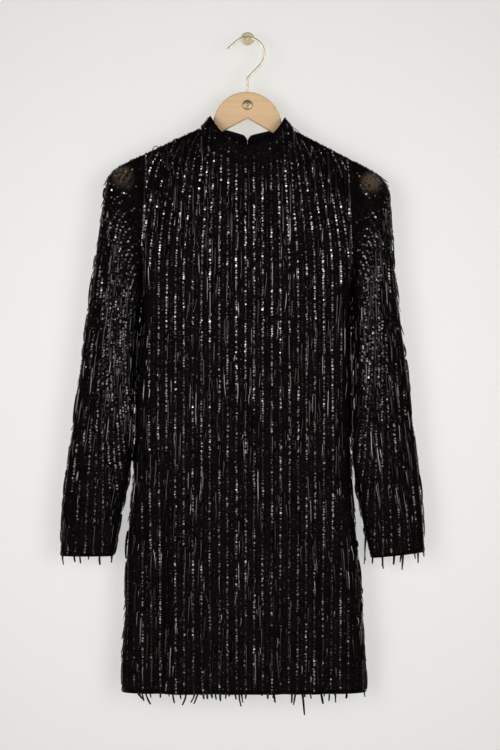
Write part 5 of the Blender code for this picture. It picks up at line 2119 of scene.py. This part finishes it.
@dataclass
class Hanger:
    """The solids of the hanger, hook, rivet, peg and button, in their finishes."""

    palette: Palette

    def build(self) -> None:
        """Gives each carried-over solid its finish."""
        finishes = {
            "hanger_board": self.palette.beech,
            "hanger_hook": self.palette.wire,
            "hanger_rivet": self.palette.brass,
            "wall_peg": self.palette.peg_brass,
            "collar_button": self.palette.button,
        }
        for node, finish in finishes.items():
            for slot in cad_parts[node].material_slots:
                slot.material = finish
            LOG.info("%s: %s", node, finish.name)


@dataclass
class SoftBox:
    """A rectangular studio light."""

    name: str
    place: Triple
    aim: Triple
    width: float
    height: float
    brightness: float
    colour: Colour = (1.0, 1.0, 1.0)

    def build(self) -> None:
        """Adds the light, aimed, unseen by the camera."""
        lamp = bpy.data.lights.new(self.name, "AREA")
        lamp.shape = "RECTANGLE"
        lamp.size = self.width
        lamp.size_y = self.height
        lamp.energy = self.brightness * math.pi * self.width * self.height
        lamp.color = self.colour
        light = bpy.data.objects.new(self.name, lamp)
        bpy.context.scene.collection.objects.link(light)
        light.location = self.place
        heading = Vector(self.aim) - Vector(self.place)
        light.rotation_euler = heading.to_track_quat("-Z", "Z").to_euler()
        light.visible_camera = False


@dataclass
class Studio:
    """The camera, the pale wall and floor, and the soft lights.

    Attributes:
        distance: how far in front of the dress it stands.
        lens: its focal length in millimetres.
        film_width: the width of its film in millimetres.
        wall_y: where the wall is, just behind the peg.
    """

    aim_x: float = 0.004
    aim_z: float = -0.538
    distance: float = 3.5
    lens: float = 105.0
    film_width: float = 36.0
    wall_y: float = 0.0405
    wall_middle_z: float = 0.25
    floor_z: float = -1.75
    room_width: float = 8.0
    wall_height: float = 4.0
    daylight: float = 0.11
    daylight_colour: Colour = (1.0, 0.985, 0.96)
    box_colour: Colour = (1.0, 0.99, 0.965)
    target: Triple = (0.0, 0.0, -0.5)

    def build_camera(self) -> None:
        """Adds the camera, level with the dress's middle."""
        lens = bpy.data.cameras.new("camera")
        lens.lens = self.lens
        lens.sensor_width = self.film_width
        camera = bpy.data.objects.new("camera", lens)
        bpy.context.scene.collection.objects.link(camera)
        camera.location = (self.aim_x, -self.distance, self.aim_z)
        camera.rotation_euler = (math.pi / 2, 0, 0)
        bpy.context.scene.camera = camera

    def build_room(self) -> None:
        """Adds the wall, seen only from its front, and the floor."""
        # The wall's paint is made darker and gives off painted light of its own, which lifts the
        # dress's shadows on it and fades away from the middle like falling lamp light.
        wall_paint = PaintFinish(
            "pale_wall",
            pale=(0.40, 0.397, 0.388),
            shaded=(0.39, 0.387, 0.378),
            painted_glow=1.24,
            middle=(0.0, -0.75, 0.0),
            spans=(8.0, 4.0, 1.0),
        )
        floor_paint = PaintFinish("pale_floor", (0.80, 0.79, 0.77), (0.76, 0.75, 0.73))
        place = (0, self.wall_y, self.wall_middle_z)
        upright = (math.pi / 2, 0, 0)
        wall = self._plane("wall", place, upright, self.room_width, self.wall_height)
        wall.data.materials.append(self._one_sided(wall_paint.make()))
        wall.visible_shadow = False
        place = (0, 0, self.floor_z)
        floor = self._plane("floor", place, (0, 0, 0), self.room_width, self.room_width)
        floor.data.materials.append(floor_paint.make())

    def _plane(
        self,
        name: str,
        place: Triple,
        turn: Triple,
        width: float,
        depth: float,
    ) -> bpy.types.Object:
        """A flat rectangle of the stage."""
        bpy.ops.object.select_all(action="DESELECT")
        bpy.ops.mesh.primitive_plane_add(size=1, location=place, rotation=turn)
        plane = bpy.context.object
        plane.name = name
        plane.scale = (width, depth, 1)
        return plane

    def _one_sided(self, material: bpy.types.Material) -> bpy.types.Material:
        """Makes a paint clear from behind."""
        tree = material.node_tree
        shader = tree.nodes["Principled BSDF"]
        clear = tree.nodes.new("ShaderNodeBsdfTransparent")
        facing = tree.nodes.new("ShaderNodeNewGeometry")
        mix = tree.nodes.new("ShaderNodeMixShader")
        tree.links.new(facing.outputs["Backfacing"], mix.inputs[0])
        tree.links.new(shader.outputs[0], mix.inputs[1])
        tree.links.new(clear.outputs[0], mix.inputs[2])
        tree.links.new(mix.outputs[0], tree.nodes["Material Output"].inputs[0])
        return material

    def build_lights(self) -> None:
        """Adds the soft boxes and a little light from all round."""
        warm = self.box_colour
        boxes = (
            SoftBox("left_box", (-1.5, -3.0, -0.4), self.target, 1.4, 2.0, 5.8, warm),
            SoftBox("right_box", (1.5, -3.0, -0.4), self.target, 1.4, 2.0, 5.5, warm),
            SoftBox("back_box", (0.3, 2.6, 0.4), self.target, 2.0, 2.0, 1.2),
        )
        for box in boxes:
            box.build()
        world = bpy.data.worlds.new("daylight")
        world.use_nodes = True
        sky = world.node_tree.nodes["Background"]
        sky.inputs["Color"].default_value = (*self.daylight_colour, 1.0)
        sky.inputs["Strength"].default_value = self.daylight
        bpy.context.scene.world = world
        bpy.context.scene.view_settings.view_transform = "Standard"


@dataclass
class SequinDress:
    """The whole dress on its hanger.

    Attributes:
        hem_stitches: how far above the hem and the cuffs the stitches run.
        armhole_stitches: how far they run from the front's edge at the armholes.
        back_stitches: how far they run from the centre-back seam.
        head_row: the sleeves' row along which they run at the armhole.
        first_row: the front's and the backs' row where they start.
    """

    palette: Palette
    form: BodyForm
    hem_stitches: float = 0.0085
    armhole_stitches: float = 0.0025
    back_stitches: float = 0.0022
    head_row: float = 0.6
    first_row: int = 3

    def build(self) -> None:
        """Makes every piece of the dress."""
        form = self.form
        palette = self.palette
        front = BodyPanel(
            name="front", node="front_panel", side=Side.FRONT, cut=Cut(0.43, 0.92, 0.345),
            seed=11, strands=1000, form=form, palette=palette,
        )
        back_left, back_right = (
            BodyPanel(
                name=name, node=name, side=Side.BACK, hand=hand, cut=Cut(0.22, 0.92, 0.170),
                seed=seed, strands=420, form=form, palette=palette,
            )
            for name, hand, seed in (("back_left", Hand.LEFT, 21), ("back_right", Hand.RIGHT, 31))
        )
        left = Sleeve(
            name="sleeve_left", node="sleeve_left", hand=Hand.LEFT, cut=Cut(0.42, 0.64, 0.137),
            seed=41, patch=(-0.199, -0.223), palette=palette,
        )
        right = Sleeve(
            name="sleeve_right", node="sleeve_right", hand=Hand.RIGHT, cut=Cut(0.42, 0.64, 0.132),
            seed=51, patch=(0.197, -0.232), palette=palette,
        )
        collar = Collar(
            name="collar", node="collar", cut=Cut(0.40, 0.05, 0.0105),
            seed=61, form=form, palette=palette,
        )
        for sheet in (front, back_left, back_right, left, right, collar):
            sheet.build()
        hem_front = self.fringe("hem_front", "hem_fringe_front", front.grid, HEM_FRONT_HANGS, 71)
        whole_back = form.grid(Side.BACK)
        hem_back = self.fringe("hem_back", "hem_fringe_back", whole_back, HEM_BACK_HANGS, 72)
        cuff_left = self.fringe("cuff_left", "cuff_fringe_left", left.grid, CUFF_LEFT_HANGS, 73)
        cuff_right = self.fringe(
            "cuff_right", "cuff_fringe_right", right.grid, CUFF_RIGHT_HANGS, 74
        )
        sewing = self.sew(front, [back_left, back_right], [left, right])
        self.catch_loops(front, "shoulder_loops", SHOULDER_LOOPS)
        self.catch_loops(left, "sleeve_head_loops", HEAD_LOOPS)
        self.catch_loops(right, "cuff_loops", CUFF_LOOPS)
        front.declare(["hanger_board"], hem_front + [sewing])
        back_left.declare(["hanger_board"], hem_back)
        back_right.declare(["hanger_board"], [])
        left.declare(["hanger_board", "front_cloth"], cuff_left)
        right.declare(["hanger_board", "front_cloth"], cuff_right)
        collar.declare(["front_cloth"], [])

    def fringe(
        self, name: str, node: str, grid: SurfaceGrid, hangs: tuple[Hang, ...], seed: int
    ) -> list[bpy.types.Object]:
        """One tape with its strands.

        Args:
            name: the pieces' first name.
            node: the solid that they stand for.
            grid: the sheet whose lower edge carries them.
            hangs: the strands.
            seed: for their small differences.

        Returns:
            The tape and the strands.
        """
        fringe = EdgeFringe(name, grid, hangs, seed)
        strand = [self.palette.strand]
        tape = add_piece(name + "_tape", fringe.build_tape(), strand)
        drops = add_piece(name + "_strands", fringe.build_hangs(), strand)
        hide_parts(node)
        return [tape, drops]

    def catch_loops(self, sheet: HungSheet, name: str, table: tuple[Loop, ...]) -> None:
        """Adds the loops that are caught on one sheet."""
        mesh = loops(name, sheet.grid, table)
        sheet.trim.append(add_piece(name, mesh, [self.palette.strand]))

    def sew(
        self, front: BodyPanel, backs: list[BodyPanel], sleeves: list[Sleeve]
    ) -> bpy.types.Object:
        """Stitches the hems, cuffs, armholes and centre back."""
        sewing = Stitching("seam_stitches")
        armpit = len(RIDGE_STEPS) + self.form.upper_steps
        for panel in [front, *backs]:
            sewing.along_edge(panel.grid, self.hem_stitches)
        for sleeve in sleeves:
            sewing.along_edge(sleeve.grid, self.hem_stitches)
            sewing.across_row(sleeve.grid, self.head_row)
        for inset in (self.armhole_stitches, -self.armhole_stitches):
            sewing.down_column(front.grid, inset, self.first_row, armpit)
        for panel in backs:
            inset = self.back_stitches * panel.hand.value
            sewing.down_column(panel.grid, inset, self.first_row, panel.grid.rows - 2)
        return add_piece(sewing.name, sewing.build(), [self.palette.thread])


def main() -> None:
    """Builds the studio, the hanger and the dress."""
    logging.basicConfig(level=logging.INFO, format="%(message)s")
    studio = Studio()
    studio.build_camera()
    studio.build_room()
    studio.build_lights()
    palette = Palette()
    Hanger(palette).build()
    SequinDress(palette, BodyForm()).build()


if __name__ == "__main__":
    main()
